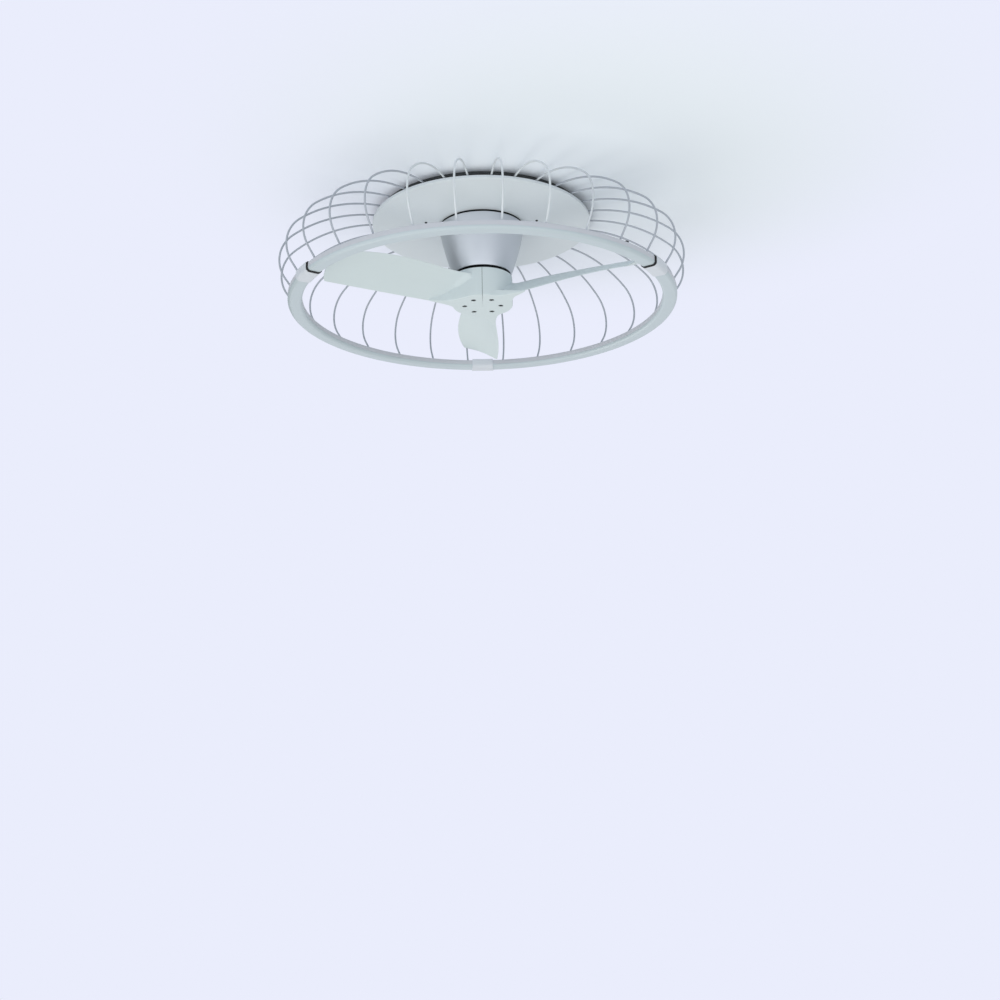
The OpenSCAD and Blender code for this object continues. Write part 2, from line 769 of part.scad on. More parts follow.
module carrier_screws() {
    color("gray") spread(3, carrier_screw_r, 0)
        translate([0, 0, carrier_top_z - carrier_flange_t])
            screw(screw_m4, carrier_flange_t + end_plate_t - 0.3);
}

// ---------- blades ----------

// Smooth curve through four values at 0, one third, two thirds and 1
function through(v, s) = let (a = s * 3)
    -v[0] * (a - 1) * (a - 2) * (a - 3) / 6 + v[1] * a * (a - 2) * (a - 3) / 2
    - v[2] * a * (a - 1) * (a - 3) / 2 + v[3] * a * (a - 1) * (a - 2) / 6;

// Radius of the tip at u, from 0 on the low edge to 1 on the high edge
function tip_at(u) = tip_low_r + (tip_high_r - tip_low_r) * u - tip_round * pow(abs(2 * u - 1), 6);

// Point on the blade's skin: s from root to tip, u across, side 1 above and -1 below
function skin(s, u, side) =
    let (
        low = [through(low_side, s), through(low_z, s)],
        high = [through(high_side, s), through(high_z, s)],
        along = (high - low) / norm(high - low),
        up = [-along[1], along[0]],
        arch = 1 - pow(2 * u - 1, 2),
        half_t = (blade_edge_t + (blade_t - blade_edge_t) * arch) / 2,
        at = low + (high - low) * u + up * (blade_camber * arch + side * half_t),
        root_side = low_side[0] + (high_side[0] - low_side[0]) * u,
        from = sqrt(pow(hub_r - root_wall / 2, 2) - root_side * root_side)
    )
    [from + s * (tip_at(u) - from), at[0], at[1]];

// Share of the way across of each column, closer together near the edges
function column(i) = (1 - cos(180 * i / wing_cols)) / 2;

module wing() {
    ring_n = 2 * wing_cols + 2;
    points = [
        for (row = [0 : wing_rows]) let (s = row / wing_rows) each concat(
            [for (i = [0 : wing_cols]) skin(s, column(i), 1)],
            [for (i = [wing_cols : -1 : 0]) skin(s, column(i), -1)]
        )
    ];
    sides = [
        for (row = [0 : wing_rows - 1], i = [0 : ring_n - 1])
            let (a = row * ring_n + i, b = row * ring_n + (i + 1) % ring_n)
            each [[a, b, b + ring_n], [a, b + ring_n, a + ring_n]]
    ];
    caps = [
        for (end = [0, wing_rows], i = [0 : wing_cols - 1])
            let (a = end * ring_n + i, b = a + 1, c = (end + 1) * ring_n - 2 - i, d = c + 1)
            each end == 0 ? [[a, c, b], [a, d, c]] : [[a, b, c], [a, c, d]]
    ];
    polyhedron(points = points, faces = concat(sides, caps));
}

// Root sector of 120 degrees: a third of the hub's wall and floor
module root_sector() {
    gap_turn = seam / hub_r * 180 / PI;
    in_round = root_round - root_wall;
    rotate_extrude(start = -60 + gap_turn / 2, angle = 120 - gap_turn) difference() {
        translate([0.6, hub_foot_z]) square([hub_r - 0.6, hub_top_z - hub_foot_z]);
        translate([0, hub_foot_z + root_floor]) difference() {
            square([hub_r - root_wall, hub_h]);
            translate([hub_r - root_wall - in_round, 0]) difference() {
                translate([0, -1]) square([in_round + 1, in_round + 1]);
                translate([0, in_round]) circle(r = in_round);
            }
        }
        translate([hub_r - root_round, hub_foot_z]) difference() {
            translate([0, -1]) square([root_round + 1, root_round + 1]);
            translate([0, root_round]) circle(r = root_round);
        }
    }
}

// Lobe under the blade: the hub's wall runs out along the low edge and fades into the blade.
// Each corner is distance from the hub along the blade, sideways place and upper height.
module root_lobe() {
    reach = root_flare_r;
    foot = hub_foot_z + 0.1;
    corners = [
        [hub_r - 8, 12, -129.5], [hub_r - 1, 11, -130], [hub_r + 8.5, 1, -134.5],
        [reach - 9, -9.5, -140.6], [reach, -15, -144.6], [reach, -18.5, -146.6],
        [hub_r + 18, -20.8, -144.5], [hub_r + 4, -23.2, -141], [hub_r - 8, -24.5, -139]
    ];
    n = len(corners);
    polyhedron(
        points = concat([for (c = corners) [c[0], c[1], foot]], corners),
        faces = concat(
            [for (i = [1 : n - 2]) [0, i + 1, i]],
            [for (i = [0 : n - 1]) let (j = (i + 1) % n) each [[i, j, n + j], [i, n + j, n + i]]],
            [for (i = [1 : n - 2]) [n, n + i, n + i + 1]]
        )
    );
}

module blade(part) {
    color("#dbe4e3") rotate(blade_angles[part]) difference() {
        union() {
            wing();
            root_sector();
            root_lobe();
        }
        for (turn = [-30, 30]) rotate(turn) translate([blade_screw_r, 0, 0]) {
            hole(screw_m3[0] + screw_gap, hub_foot_z - 1, hub_foot_z + root_floor + 1);
            hole(screw_m3[1] + head_room, hub_foot_z - 1, hub_foot_z + head_sink);
        }
    }
}

module blade_1() { blade(0); }
module blade_2() { blade(1); }
module blade_3() { blade(2); }

module blade_screws() {
    color("#8f9399") spread(6, blade_screw_r, 0)
        translate([0, 0, hub_foot_z + head_sink]) screw(screw_m3, root_floor - head_sink + carrier_foot_t - 0.5);
}

ceiling_plate();
base_screws();
canopy_base();
cable_grommet();
canopy_cover();
cover_screws();
cage_hoop();
cage_wires_1();
cage_wires_2();
cage_wires_3();
cage_wires_4();
cage_wires_5();
cage_wires_6();
ring_channel_1();
ring_channel_2();
ring_channel_3();
ring_diffuser_1();
ring_diffuser_2();
ring_diffuser_3();
led_strip_1();
led_strip_2();
led_strip_3();
joint_sleeve_1();
joint_sleeve_2();
joint_sleeve_3();
ring_seals();
ring_grommet();
motor_bracket();
bracket_screws();
motor_housing();
housing_screws();
control_board();
board_standoffs();
board_modules();
terminal_block();
spindle();
spindle_screws();
stator_core();
stator_windings();
bearing_inner_races();
spindle_clip();
bearing_outer_races();
bearing_balls();
rotor_cup();
rotor_magnets();
rotor_end_plate();
end_plate_screws();
hub_carrier();
carrier_screws();
blade_1();
blade_2();
blade_3();
blade_screws();
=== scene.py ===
"""Looks of an orbital ceiling fan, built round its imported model.

The file is laid out as an add-on: sizes and colours are properties, and each piece or group of
like pieces has its own operator. Run as a script, it registers them and calls them in order.
"""

import math
from functools import cache

import bmesh
import bpy
from bpy.props import FloatProperty, FloatVectorProperty, IntProperty, PointerProperty
from mathutils import Matrix, Vector


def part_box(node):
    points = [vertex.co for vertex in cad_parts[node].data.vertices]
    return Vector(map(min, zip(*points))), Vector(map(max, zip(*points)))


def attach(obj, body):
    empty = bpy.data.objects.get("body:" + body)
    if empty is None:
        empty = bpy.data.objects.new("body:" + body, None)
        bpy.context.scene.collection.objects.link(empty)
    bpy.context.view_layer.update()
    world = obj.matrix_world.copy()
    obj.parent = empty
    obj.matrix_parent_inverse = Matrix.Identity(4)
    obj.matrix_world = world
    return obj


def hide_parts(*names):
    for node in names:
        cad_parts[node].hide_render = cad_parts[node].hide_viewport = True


bl_info = {
    "name": "Orbital Ceiling Fan",
    "version": (1, 0, 0),
    "blender": (4, 5, 0),
    "location": "3D View > Sidebar > Fan",
    "description": "Builds the visible pieces of a caged ceiling fan with a ring light",
    "category": "Add Mesh",
}

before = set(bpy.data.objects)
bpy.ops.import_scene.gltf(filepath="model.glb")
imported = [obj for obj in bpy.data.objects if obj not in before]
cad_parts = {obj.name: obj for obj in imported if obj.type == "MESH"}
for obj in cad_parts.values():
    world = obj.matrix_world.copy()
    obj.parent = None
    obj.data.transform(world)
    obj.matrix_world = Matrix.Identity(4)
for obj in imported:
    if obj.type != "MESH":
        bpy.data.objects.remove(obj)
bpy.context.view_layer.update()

MM = 0.001
BLADES = (90.0, 210.0, 330.0)
JOINTS = (91.0, 209.4, 331.0)


def linear(red, green, blue):
    """Turns a screen colour, 0 to 255, into the linear values that shaders use."""
    out = []
    for value in (red, green, blue):
        value /= 255.0
        out.append(value / 12.92 if value <= 0.04045 else ((value + 0.055) / 1.055) ** 2.4)
    return tuple(out)


def low(node):
    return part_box(node)[0]


def high(node):
    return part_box(node)[1]


# ---- sizes and colours ----


def length(name, description, default):
    return FloatProperty(
        name=name, description=description, default=default, unit="LENGTH", precision=4
    )


def angle(name, description, degrees):
    return FloatProperty(
        name=name, description=description, default=math.radians(degrees), subtype="ANGLE"
    )


def colour(name, description, *screen):
    limits = {"size": 3, "min": 0, "max": 1}
    return FloatVectorProperty(
        name=name, description=description, default=linear(*screen), subtype="COLOR", **limits
    )


class FanCanopySizes(bpy.types.PropertyGroup):
    """Sizes of the canopy and of the motor housing below it."""

    cover_radius: length("Cover radius", "Outer radius of the canopy cover", high("canopy_cover").x)
    cover_rim: length("Cover rim", "Height of the cover's upper rim", high("canopy_cover").z)
    cover_face: length("Cover face", "Height of the cover's underside", low("canopy_cover").z)
    cover_sheet: length("Cover sheet", "Thickness of the cover's sheet", 1.2 * MM)
    cover_opening: length("Cover opening", "Radius of the opening round the motor", 65.5 * MM)
    housing_top_radius: length(
        "Housing top radius", "Radius at the housing's upper edge", high("motor_housing").x
    )
    housing_foot_radius: length("Housing foot radius", "Radius at the housing's lower edge", 45.5 * MM)
    housing_gap: length("Housing gap", "Gap between the cover and the housing's upper edge", 3 * MM)
    housing_bulge: length("Housing bulge", "How far the side swells past a straight cone", 2 * MM)


class FanCageSizes(bpy.types.PropertyGroup):
    """Sizes of the cage's wires."""

    wire_count: IntProperty(name="Wires", description="Number of wires in the cage", default=30, min=6)
    wire_radius: length("Wire radius", "Radius of one wire", 1.5 * MM)
    start_radius: length("Start radius", "Radius where a wire leaves the hoop", 163 * MM)
    bend_radius: length("Bend start", "Radius where the long bend starts", 171.5 * MM)
    start_height: length("Start height", "Height where a wire leaves the hoop", -8.5 * MM)
    long_bend: length("Long bend", "Radius of the long bend over the canopy", 198 * MM)
    tight_bend: length("Tight bend", "Radius of the bend at the widest place", 53 * MM)
    foot_turn: angle("Foot turn", "How far a wire has turned where it meets the ring", 125)
    foot_radius: length("Foot radius", "Distance of the wires' feet from the axis", 291 * MM)


class FanRingSizes(bpy.types.PropertyGroup):
    """Sizes of the ring light."""

    outer_radius: length("Outer radius", "Outer radius of the ring", -low("ring_channel_1").x)
    width: length("Width", "Width of the ring's section", 22 * MM)
    top: length("Top", "Height of the ring's upper face", high("ring_channel_1").z)
    channel_height: length("Channel height", "Height of the metal channel", 7 * MM)
    channel_wall: length("Channel wall", "Thickness of the channel's sides", 1.4 * MM)
    channel_top: length("Channel top", "Thickness of the channel's top", 2.4 * MM)
    diffuser_height: length("Diffuser height", "Height of the opal diffuser", 5 * MM)
    diffuser_round: length("Diffuser corners", "Radius of its lower corners", 4.8 * MM)
    # The black seals paint shade: they stand for the shadow in the gap at a sleeve's mouth.
    seal_length: length("Seal length", "Visible length of a black seal", 4.2 * MM)
    sleeve_length: length("Sleeve length", "Length of a joint sleeve", 38 * MM)
    sleeve_proud: length("Sleeve proud", "How far a sleeve stands proud", 1.6 * MM)


class FanBladeSizes(bpy.types.PropertyGroup):
    """Sizes of the hub and its blades."""

    hub_radius: length("Hub radius", "Outer radius of the hub", 46.5 * MM)
    hub_top: length("Hub top", "Height of the hub's upper edge", high("blade_1").z)
    hub_foot: length("Hub foot", "Height of the hub's underside", low("blade_1").z)
    seam: length("Seam", "Gap between the two near blade roots", 0.6 * MM)
    floor: length("Floor", "Thickness of the hub's floor", 5 * MM)
    wall: length("Wall", "Thickness of the hub's wall", 2.5 * MM)
    rounding: length("Rounding", "Radius between the hub's wall and floor", 1.6 * MM)
    inner_rounding: length("Inner rounding", "Radius inside, round the hub's floor", 6.5 * MM)
    screw_circle: length("Screw circle", "Radius of the circle of blade screws", 28 * MM)
    tip_low: length("Low tip", "Radius of the tip on the low edge", 262 * MM)
    tip_high: length("High tip", "Radius of the tip on the high edge", 265 * MM)
    tip_round: length("Tip rounding", "How far the tip's corners are set back", 5 * MM)
    tip_sharp: length("High tip rounding", "The same for the corner on the high edge", 2 * MM)
    thickness: length("Thickness", "Blade thickness along its middle", 3.4 * MM)
    edge: length("Edge", "Blade thickness at its edges", 1.4 * MM)
    camber: length("Camber", "How far the blade's section bows upwards", 5 * MM)
    fillet: length("Root fillet", "Radius of the fillet where a blade meets the hub", 12 * MM)
    lift: length("Root lift", "How far the high edge rises where it meets the hub", 5.4 * MM)


class FanColours(bpy.types.PropertyGroup):
    """Colours of the visible finishes."""

    room: colour("Room", "Ceiling and background", 234, 237, 252)
    shade: colour("Ceiling paint", "Ceiling where it is lit and shaded", 233, 238, 247)
    cover: colour("Canopy cover", "Pale grey paint", 213, 219, 225)
    wire: colour("Cage wire", "Silver-grey coating", 173, 178, 188)
    # Painted light: the wires' lighter tone towards the near side, standing in for the light that
    # falls there.
    wire_painted_light: colour("Near cage wire", "The same at the near side", 214, 219, 224)
    ring: colour("Ring channel", "Silver-white paint", 195, 197, 206)
    sleeve: colour("Joint sleeve", "Silver-white paint", 208, 212, 221)
    opal: colour("Opal diffuser", "Opal plastic", 187, 198, 205)
    housing: colour("Motor housing", "Satin metal", 196, 201, 205)
    blade: colour("Blade", "Pale grey-green plastic", 206, 216, 220)
    # Painted shade: the base is kept dark so that the gap between the cover's rim and the ceiling
    # reads as shadow.
    base: colour("Canopy base", "Grey paint behind the cover", 56, 59, 62)
    # Partly the parts' dark paint and partly painted shade: near-black so that the gaps where the
    # hoop, bracket and rotor show read as shadow.
    dark_paint_and_painted_shade: colour("Dark paint", "Hoop, bracket and rotor", 20, 21, 23)
    # Near-black rubber of the bushes, which is also the painted shade of the ring's seals.
    rubber_and_painted_shade: colour("Rubber", "Seals and bushes", 12, 12, 13)


# ---- shader groups and materials ----


def put(node, inputs):
    """Fills a node's inputs: a socket is linked to its input, and a value is set on it."""
    for key, value in inputs.items():
        if isinstance(value, bpy.types.NodeSocket):
            node.id_data.links.new(value, node.inputs[key])
        else:
            node.inputs[key].default_value = value
    return node


def add(tree, kind, inputs=None, **settings):
    """Adds a node, with its properties set by name, and fills its inputs."""
    node = tree.nodes.new(kind)
    for key, value in settings.items():
        setattr(node, key, value)
    return put(node, inputs or {})


def math_node(tree, operation, *values):
    """Adds a Math node whose inputs are sockets or numbers."""
    return add(tree, "ShaderNodeMath", dict(enumerate(values)), operation=operation).outputs[0]


SOCKET_KINDS = {"Colour": "Color", "Geometry": "Geometry", "Material": "Material", "Count": "Int"}
RELIEF = ("Height", "Roughness")


def node_group(kind, name, inputs, outputs):
    """Makes an empty node group with named sockets, and returns it with its end nodes."""
    group = bpy.data.node_groups.new(name, kind)
    for way, labels in (("INPUT", inputs), ("OUTPUT", outputs)):
        for label in labels:
            socket_type = "NodeSocket" + SOCKET_KINDS.get(label, "Float")
            socket = group.interface.new_socket(label, in_out=way, socket_type=socket_type)
            if way == "INPUT" and inputs[label] is not None:
                socket.default_value = inputs[label]
    return group, group.nodes.new("NodeGroupInput"), group.nodes.new("NodeGroupOutput")


def noise_at(group, place, size, detail=2):
    """Adds noise whose patches are as wide as the size socket says."""
    scale = math_node(group, "DIVIDE", 1.0, size)
    inputs = {"Vector": place, "Scale": scale, "Detail": detail}
    return add(group, "ShaderNodeTexNoise", inputs).outputs["Fac"]


def varied(group, noise, spread, middle):
    """Adds a value that strays from its middle with the noise."""
    shift = math_node(group, "SUBTRACT", noise, 0.5)
    return math_node(group, "ADD", math_node(group, "MULTIPLY", shift, spread), middle)


@cache
def tinted_group():
    """Colour that varies a little in cloudy patches, as paint and moulded plastic do."""
    inputs = {"Colour": (0.8, 0.8, 0.8, 1), "Patch Size": 0.05, "Strength": 0.04}
    group, start, end = node_group("ShaderNodeTree", "Cloudy Tint", inputs, ["Colour"])
    place = add(group, "ShaderNodeTexCoord").outputs["Object"]
    noise = noise_at(group, place, start.outputs["Patch Size"], 3)
    value = varied(group, noise, start.outputs["Strength"], 1.0)
    tint = {"Color": start.outputs["Colour"], "Value": value}
    put(end, {"Colour": add(group, "ShaderNodeHueSaturation", tint).outputs[0]})
    return group


@cache
def grain_group():
    """Fine even grain of a sprayed or moulded skin: a height and a roughness."""
    inputs = {"Grain Size": 0.0008, "Roughness": 0.4, "Spread": 0.06}
    group, start, end = node_group("ShaderNodeTree", "Fine Grain", inputs, RELIEF)
    place = add(group, "ShaderNodeTexCoord").outputs["Object"]
    noise = noise_at(group, place, start.outputs["Grain Size"])
    slow = add(group, "ShaderNodeTexNoise", {"Vector": place, "Scale": 22}).outputs["Fac"]
    rough = varied(group, slow, start.outputs["Spread"], start.outputs["Roughness"])
    put(end, {"Height": noise, "Roughness": rough})
    return group


@cache
def turned_group():
    """Fine lines round the fan's axis, as a lathe and a polishing belt leave them."""
    inputs = {"Grain Size": 0.0004, "Roughness": 0.3, "Spread": 0.12}
    group, start, end = node_group("ShaderNodeTree", "Turned Lines", inputs, RELIEF)
    place = add(group, "ShaderNodeTexCoord").outputs["Object"]
    x, y, z = add(group, "ShaderNodeSeparateXYZ", {0: place}).outputs
    squares = [math_node(group, "MULTIPLY", value, value) for value in (x, y)]
    across = math_node(group, "SQRT", math_node(group, "ADD", *squares))
    drift = 1.2 * MM
    along = math_node(group, "MULTIPLY", math_node(group, "ARCTAN2", y, x), drift)
    where = add(group, "ShaderNodeCombineXYZ", {"X": across, "Y": along, "Z": z})
    noise = noise_at(group, where.outputs[0], start.outputs["Grain Size"])
    rough = varied(group, noise, start.outputs["Spread"], start.outputs["Roughness"])
    put(end, {"Height": noise, "Roughness": rough})
    return group


def new_material(name):
    """Makes a material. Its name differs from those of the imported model's plain materials."""
    material = bpy.data.materials.new(name + "_finish")
    material.use_nodes = True
    return material, material.node_tree, material.node_tree.nodes["Principled BSDF"]


def skin(
    name, tone, rough, metallic=0.0, patch=0.05, uneven=0.05, grain=0.0008, bump=0.05, coat=0.0,
    lines=False,
):
    """Painted, coated or moulded finish: cloudy tint with fine grain, or with turned lines."""
    material, tree, shader = new_material(name)
    cloudy = {"Colour": (*tone, 1), "Patch Size": patch, "Strength": uneven}
    tint = add(tree, "ShaderNodeGroup", cloudy, node_tree=tinted_group())
    group = turned_group() if lines else grain_group()
    grains = {"Grain Size": grain, "Roughness": rough}
    fine = add(tree, "ShaderNodeGroup", grains, node_tree=group)
    relief = {"Strength": bump, "Distance": 0.0001, "Height": fine.outputs["Height"]}
    finish = {
        "Base Color": tint.outputs["Colour"],
        "Roughness": fine.outputs["Roughness"],
        "Normal": add(tree, "ShaderNodeBump", relief).outputs[0],
        "Metallic": metallic,
        "Coat Weight": coat,
        "Coat Roughness": 0.15,
    }
    put(shader, finish)
    return material


def turned_metal(name, tone, rough, metallic=1.0, bump=0.08):
    """Metal with fine lines round the axis."""
    return skin(name, tone, rough, metallic, 0.08, 0.06, 0.0004, bump, lines=True)


def skin_with_painted_light(name, tone, painted_light_tone, rough):
    """Coated finish with painted light: its colour turns lighter towards the near side, as if more
    light fell there.
    """
    material = skin(name, tone, rough, metallic=0.1, patch=0.02)
    tree = material.node_tree
    tint = next(node for node in tree.nodes if "Colour" in node.inputs)
    # The painted light is strongest on the side that faces this way.
    painted_light_way = (0.06, -0.998, 0)
    place = add(tree, "ShaderNodeTexCoord").outputs["Object"]
    flat = add(tree, "ShaderNodeVectorMath", {0: place, 1: (1, 1, 0)}, operation="MULTIPLY")
    outwards = add(tree, "ShaderNodeVectorMath", {0: flat.outputs[0]}, operation="NORMALIZE")
    ways = {0: outwards.outputs[0], 1: painted_light_way}
    painted_light_facing = add(tree, "ShaderNodeVectorMath", ways, operation="DOT_PRODUCT")
    blend = {"Value": painted_light_facing.outputs["Value"], "From Min": 0.82, "From Max": 0.95}
    near = add(tree, "ShaderNodeMapRange", blend, interpolation_type="SMOOTHSTEP")
    mix = add(tree, "ShaderNodeMix", {"Factor": near.outputs["Result"]}, data_type="RGBA")
    sockets = {socket.identifier: socket for socket in (*mix.inputs, *mix.outputs)}
    sockets["A_Color"].default_value = (*tone, 1)
    sockets["B_Color"].default_value = (*painted_light_tone, 1)
    put(tint, {"Colour": sockets["Result_Color"]})
    return material


@cache
def finish_of(key):
    """The finish of a visible kind of piece, made from the panel's colours at its first use."""
    tones = bpy.context.scene.fan_colours
    makers = {
        "cover": lambda: skin("cover_paint", tones.cover, 0.42, bump=0.08),
        # The wires carry painted light: they turn lighter towards the near side.
        "wire": lambda: skin_with_painted_light("wire_paint", tones.wire, tones.wire_painted_light, 0.4),
        "ring": lambda: skin("ring_paint", tones.ring, 0.4, patch=0.03),
        "sleeve": lambda: skin("sleeve_paint", tones.sleeve, 0.4, patch=0.02),
        "opal": lambda: skin("opal", tones.opal, 0.34, uneven=0.03, bump=0.02, coat=0.2),
        "housing": lambda: turned_metal("housing_metal", tones.housing, 0.46, metallic=0.85),
        "blade": lambda: skin("blade_plastic", tones.blade, 0.46, uneven=0.03, bump=0.06),
        # Painted shade: the dark base behind the cover's rim.
        "base": lambda: skin("canopy_base_painted_shade", tones.base, 0.5, bump=0.08),
        # Near-black: dark paint, and painted shade in the gaps.
        "dark_paint_and_painted_shade": lambda: skin("dark_steel", tones.dark_paint_and_painted_shade, 0.6, bump=0.1),
        # Also the seals' painted shade.
        "rubber_and_painted_shade": lambda: skin("seal_rubber", tones.rubber_and_painted_shade, 0.9, bump=0.1),
        # Screw heads: near-black steel that also paints the shade of their recesses and sockets.
        "screw": lambda: turned_metal("screw_steel_and_painted_shade", linear(10, 10, 11), 0.7, metallic=0.3),
    }
    return makers[key]()


# ---- mesh helpers ----


def rounded(corners, parts=4):
    """Closed outline from (across, height, fillet radius) corners, with each corner filleted."""
    points = []
    count = len(corners)
    for i, (x, z, radius) in enumerate(corners):
        here = Vector((x, z))
        if radius <= 0:
            points.append(here)
            continue
        before = (Vector(corners[i - 1][:2]) - here).normalized()
        after = (Vector(corners[(i + 1) % count][:2]) - here).normalized()
        half = before.angle(after) / 2
        back = radius / math.tan(half)
        centre = here + (before + after).normalized() * (radius / math.sin(half))
        first = here + before * back - centre
        last = here + after * back - centre
        turn = first.angle_signed(last)
        for step in range(parts + 1):
            swing = -turn * step / parts
            c, s = math.cos(swing), math.sin(swing)
            points.append(centre + Vector((first.x * c - first.y * s, first.x * s + first.y * c)))
    return points


def skin_faces(rows, count, whole=False):
    """Faces through rows of corners: joined round to the first row, or capped at both ends."""
    faces = []
    for row in range(rows if whole else rows - 1):
        a, b = row * count, ((row + 1) % rows) * count
        for i in range(count):
            j = (i + 1) % count
            faces.append((a + i, b + i, b + j, a + j))
    if not whole:
        faces.append(tuple(range(count)))
        faces.append(tuple(reversed(range((rows - 1) * count, rows * count))))
    return faces


def turned(outline, steps, start=0.0, sweep=360.0):
    """Turns an outline round the axis. Returns corners and faces of a closed skin."""
    whole = abs(sweep - 360.0) < 1e-6
    rows = steps if whole else steps + 1
    corners = []
    for row in range(rows):
        at = math.radians(start + sweep * row / steps)
        c, s = math.cos(at), math.sin(at)
        corners += [(x * c, x * s, z) for x, z in outline]
    return corners, skin_faces(rows, len(outline), whole)


def add_shell(work, corners, faces):
    """Adds one closed shell to a mesh that is being made, and returns its faces."""
    made = [work.verts.new(corner) for corner in corners]
    return [work.faces.new([made[i] for i in face]) for face in faces]


def closed_mesh(name, shells):
    """Makes one mesh of one or more closed shells."""
    mesh = bpy.data.meshes.new(name)
    work = bmesh.new()
    for shell in shells:
        add_shell(work, *shell)
    bmesh.ops.remove_doubles(work, verts=work.verts, dist=1e-7)
    bmesh.ops.recalc_face_normals(work, faces=work.faces)
    work.to_mesh(mesh)
    work.free()
    return mesh


def linked(name, data):
    """Makes an object and links it to the scene."""
    made = bpy.data.objects.new(name, data)
    bpy.context.scene.collection.objects.link(made)
    return made


def shown(name, mesh, key, crease=32.0):
    """Gives a mesh an object, a finish and smooth shading with sharp creases."""
    mesh.materials.clear()
    mesh.materials.append(finish_of(key))
    mesh.polygons.foreach_set("use_smooth", [True] * len(mesh.polygons))
    mesh.set_sharp_from_angle(angle=math.radians(crease))
    return linked(name, mesh)


def solid(name, shells, key):
    """Makes one piece of one or more closed shells."""
    return shown(name, closed_mesh(name, shells), key)


def evaluated_mesh(piece):
    """Plain mesh of a piece, as its modifiers leave it."""
    graph = bpy.context.evaluated_depsgraph_get()
    return bpy.data.meshes.new_from_object(piece.evaluated_get(graph), depsgraph=graph)


def applied(piece):
    """Turns a piece's modifiers into plain mesh."""
    mesh = evaluated_mesh(piece)
    piece.modifiers.clear()
    piece.data = mesh


def dressed(piece, body, slot, *nodes):
    """Hangs a piece on its body and hides the imported nodes that it stands for. Its slot is not used.
    """
    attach(piece, body)
    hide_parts(*nodes)
    return piece


# ---- geometry node trees ----


def geometry_tree(name, sizes):
    """Makes an empty geometry node tree with sizes as inputs, and those that spread_out reads."""
    circle = {"Count": 6, "First Angle": 0.0, "Step Angle": 1.0}
    inputs = {"Geometry": None, **sizes, **circle, "Material": None}
    return node_group("GeometryNodeTree", name, inputs, ["Geometry"])


def spread_out(tree, given, geometry, centres):
    """Sets copies of a geometry round the axis, realizes them and gives them the material."""
    index = add(tree, "GeometryNodeInputIndex").outputs[0]
    turn = math_node(tree, "MULTIPLY_ADD", index, given["Step Angle"], given["First Angle"])
    points = add(tree, "GeometryNodePoints", {"Count": given["Count"]})
    if centres:
        across, along = [
            math_node(tree, "MULTIPLY", math_node(tree, way, turn), given["Circle Radius"])
            for way in ("COSINE", "SINE")
        ]
        place = add(tree, "ShaderNodeCombineXYZ", {"X": across, "Y": along, "Z": given["Height"]})
        put(points, {"Position": place.outputs[0]})
    spin = add(tree, "ShaderNodeCombineXYZ", {"Z": turn})
    rotation = add(tree, "FunctionNodeEulerToRotation", {0: spin.outputs[0]})
    copied = {"Points": points.outputs[0], "Instance": geometry, "Rotation": rotation.outputs[0]}
    copies = add(tree, "GeometryNodeInstanceOnPoints", copied)
    real = add(tree, "GeometryNodeRealizeInstances", {0: copies.outputs[0]})
    painted = {"Geometry": real.outputs[0], "Material": given["Material"]}
    return add(tree, "GeometryNodeSetMaterial", painted).outputs[0]


def wire_tree():
    """Sweeps one line into a wire and repeats it round the axis."""
    tree, start, end = geometry_tree("Cage Wires", {"Wire Radius": 0.0015})
    line = add(tree, "GeometryNodeMeshToCurve", {0: start.outputs["Geometry"]})
    circle = {"Resolution": 14, "Radius": start.outputs["Wire Radius"]}
    section = add(tree, "GeometryNodeCurvePrimitiveCircle", circle)
    sweep = {"Curve": line.outputs[0], "Profile Curve": section.outputs[0], "Fill Caps": True}
    swept = add(tree, "GeometryNodeCurveToMesh", sweep)
    put(end, {0: spread_out(tree, start.outputs, swept.outputs[0], False)})
    return tree


def fastener_tree():
    """Repeats one fastener on a circle."""
    tree, start, end = geometry_tree("Fastener Circle", {"Circle Radius": 0.028, "Height": 0.0})
    put(end, {0: spread_out(tree, start.outputs, start.outputs["Geometry"], True)})
    return tree


def grown(name, seed_mesh, tree, key, sizes, circle, crease=40.0):
    """Makes a piece of copies of a seed mesh, on a circle of (count, first angle, step)."""
    values = {**sizes, "Material": finish_of(key)}
    values |= zip(("Count", "First Angle", "Step Angle"), circle)
    seed = linked(name + "_seed", seed_mesh)
    modifier = seed.modifiers.new(tree.name, "NODES")
    modifier.node_group = tree
    for item in tree.interface.items_tree:
        if item.item_type == "SOCKET" and item.in_out == "INPUT" and item.name in values:
            modifier[item.identifier] = values[item.name]
    mesh = evaluated_mesh(seed)
    bpy.data.objects.remove(seed)
    mesh.name = name
    return shown(name, mesh, key, crease)


# ---- canopy and housing ----


class FAN_OT_canopy(bpy.types.Operator):
    """Makes the canopy cover."""

    bl_idname = "fan.canopy"
    bl_label = "Canopy"

    def execute(self, context):
        size = context.scene.fan_canopy
        rim, face, sheet = size.cover_rim, size.cover_face, size.cover_sheet
        opening, edge = size.cover_opening, size.cover_radius
        inside, back = edge - sheet, face + sheet
        corners = [(opening, face, 0.3 * MM), (edge, face, 1.2 * MM), (edge, rim, 0.4 * MM)]
        corners += [(inside, rim, 0.4 * MM), (inside, back, 0.3 * MM), (opening, back, 0.3 * MM)]
        cover = solid("canopy_cover_skin", [turned(rounded(corners), 240)], "cover")
        dressed(cover, "frame", "cover_paint", "canopy_cover")
        return {"FINISHED"}


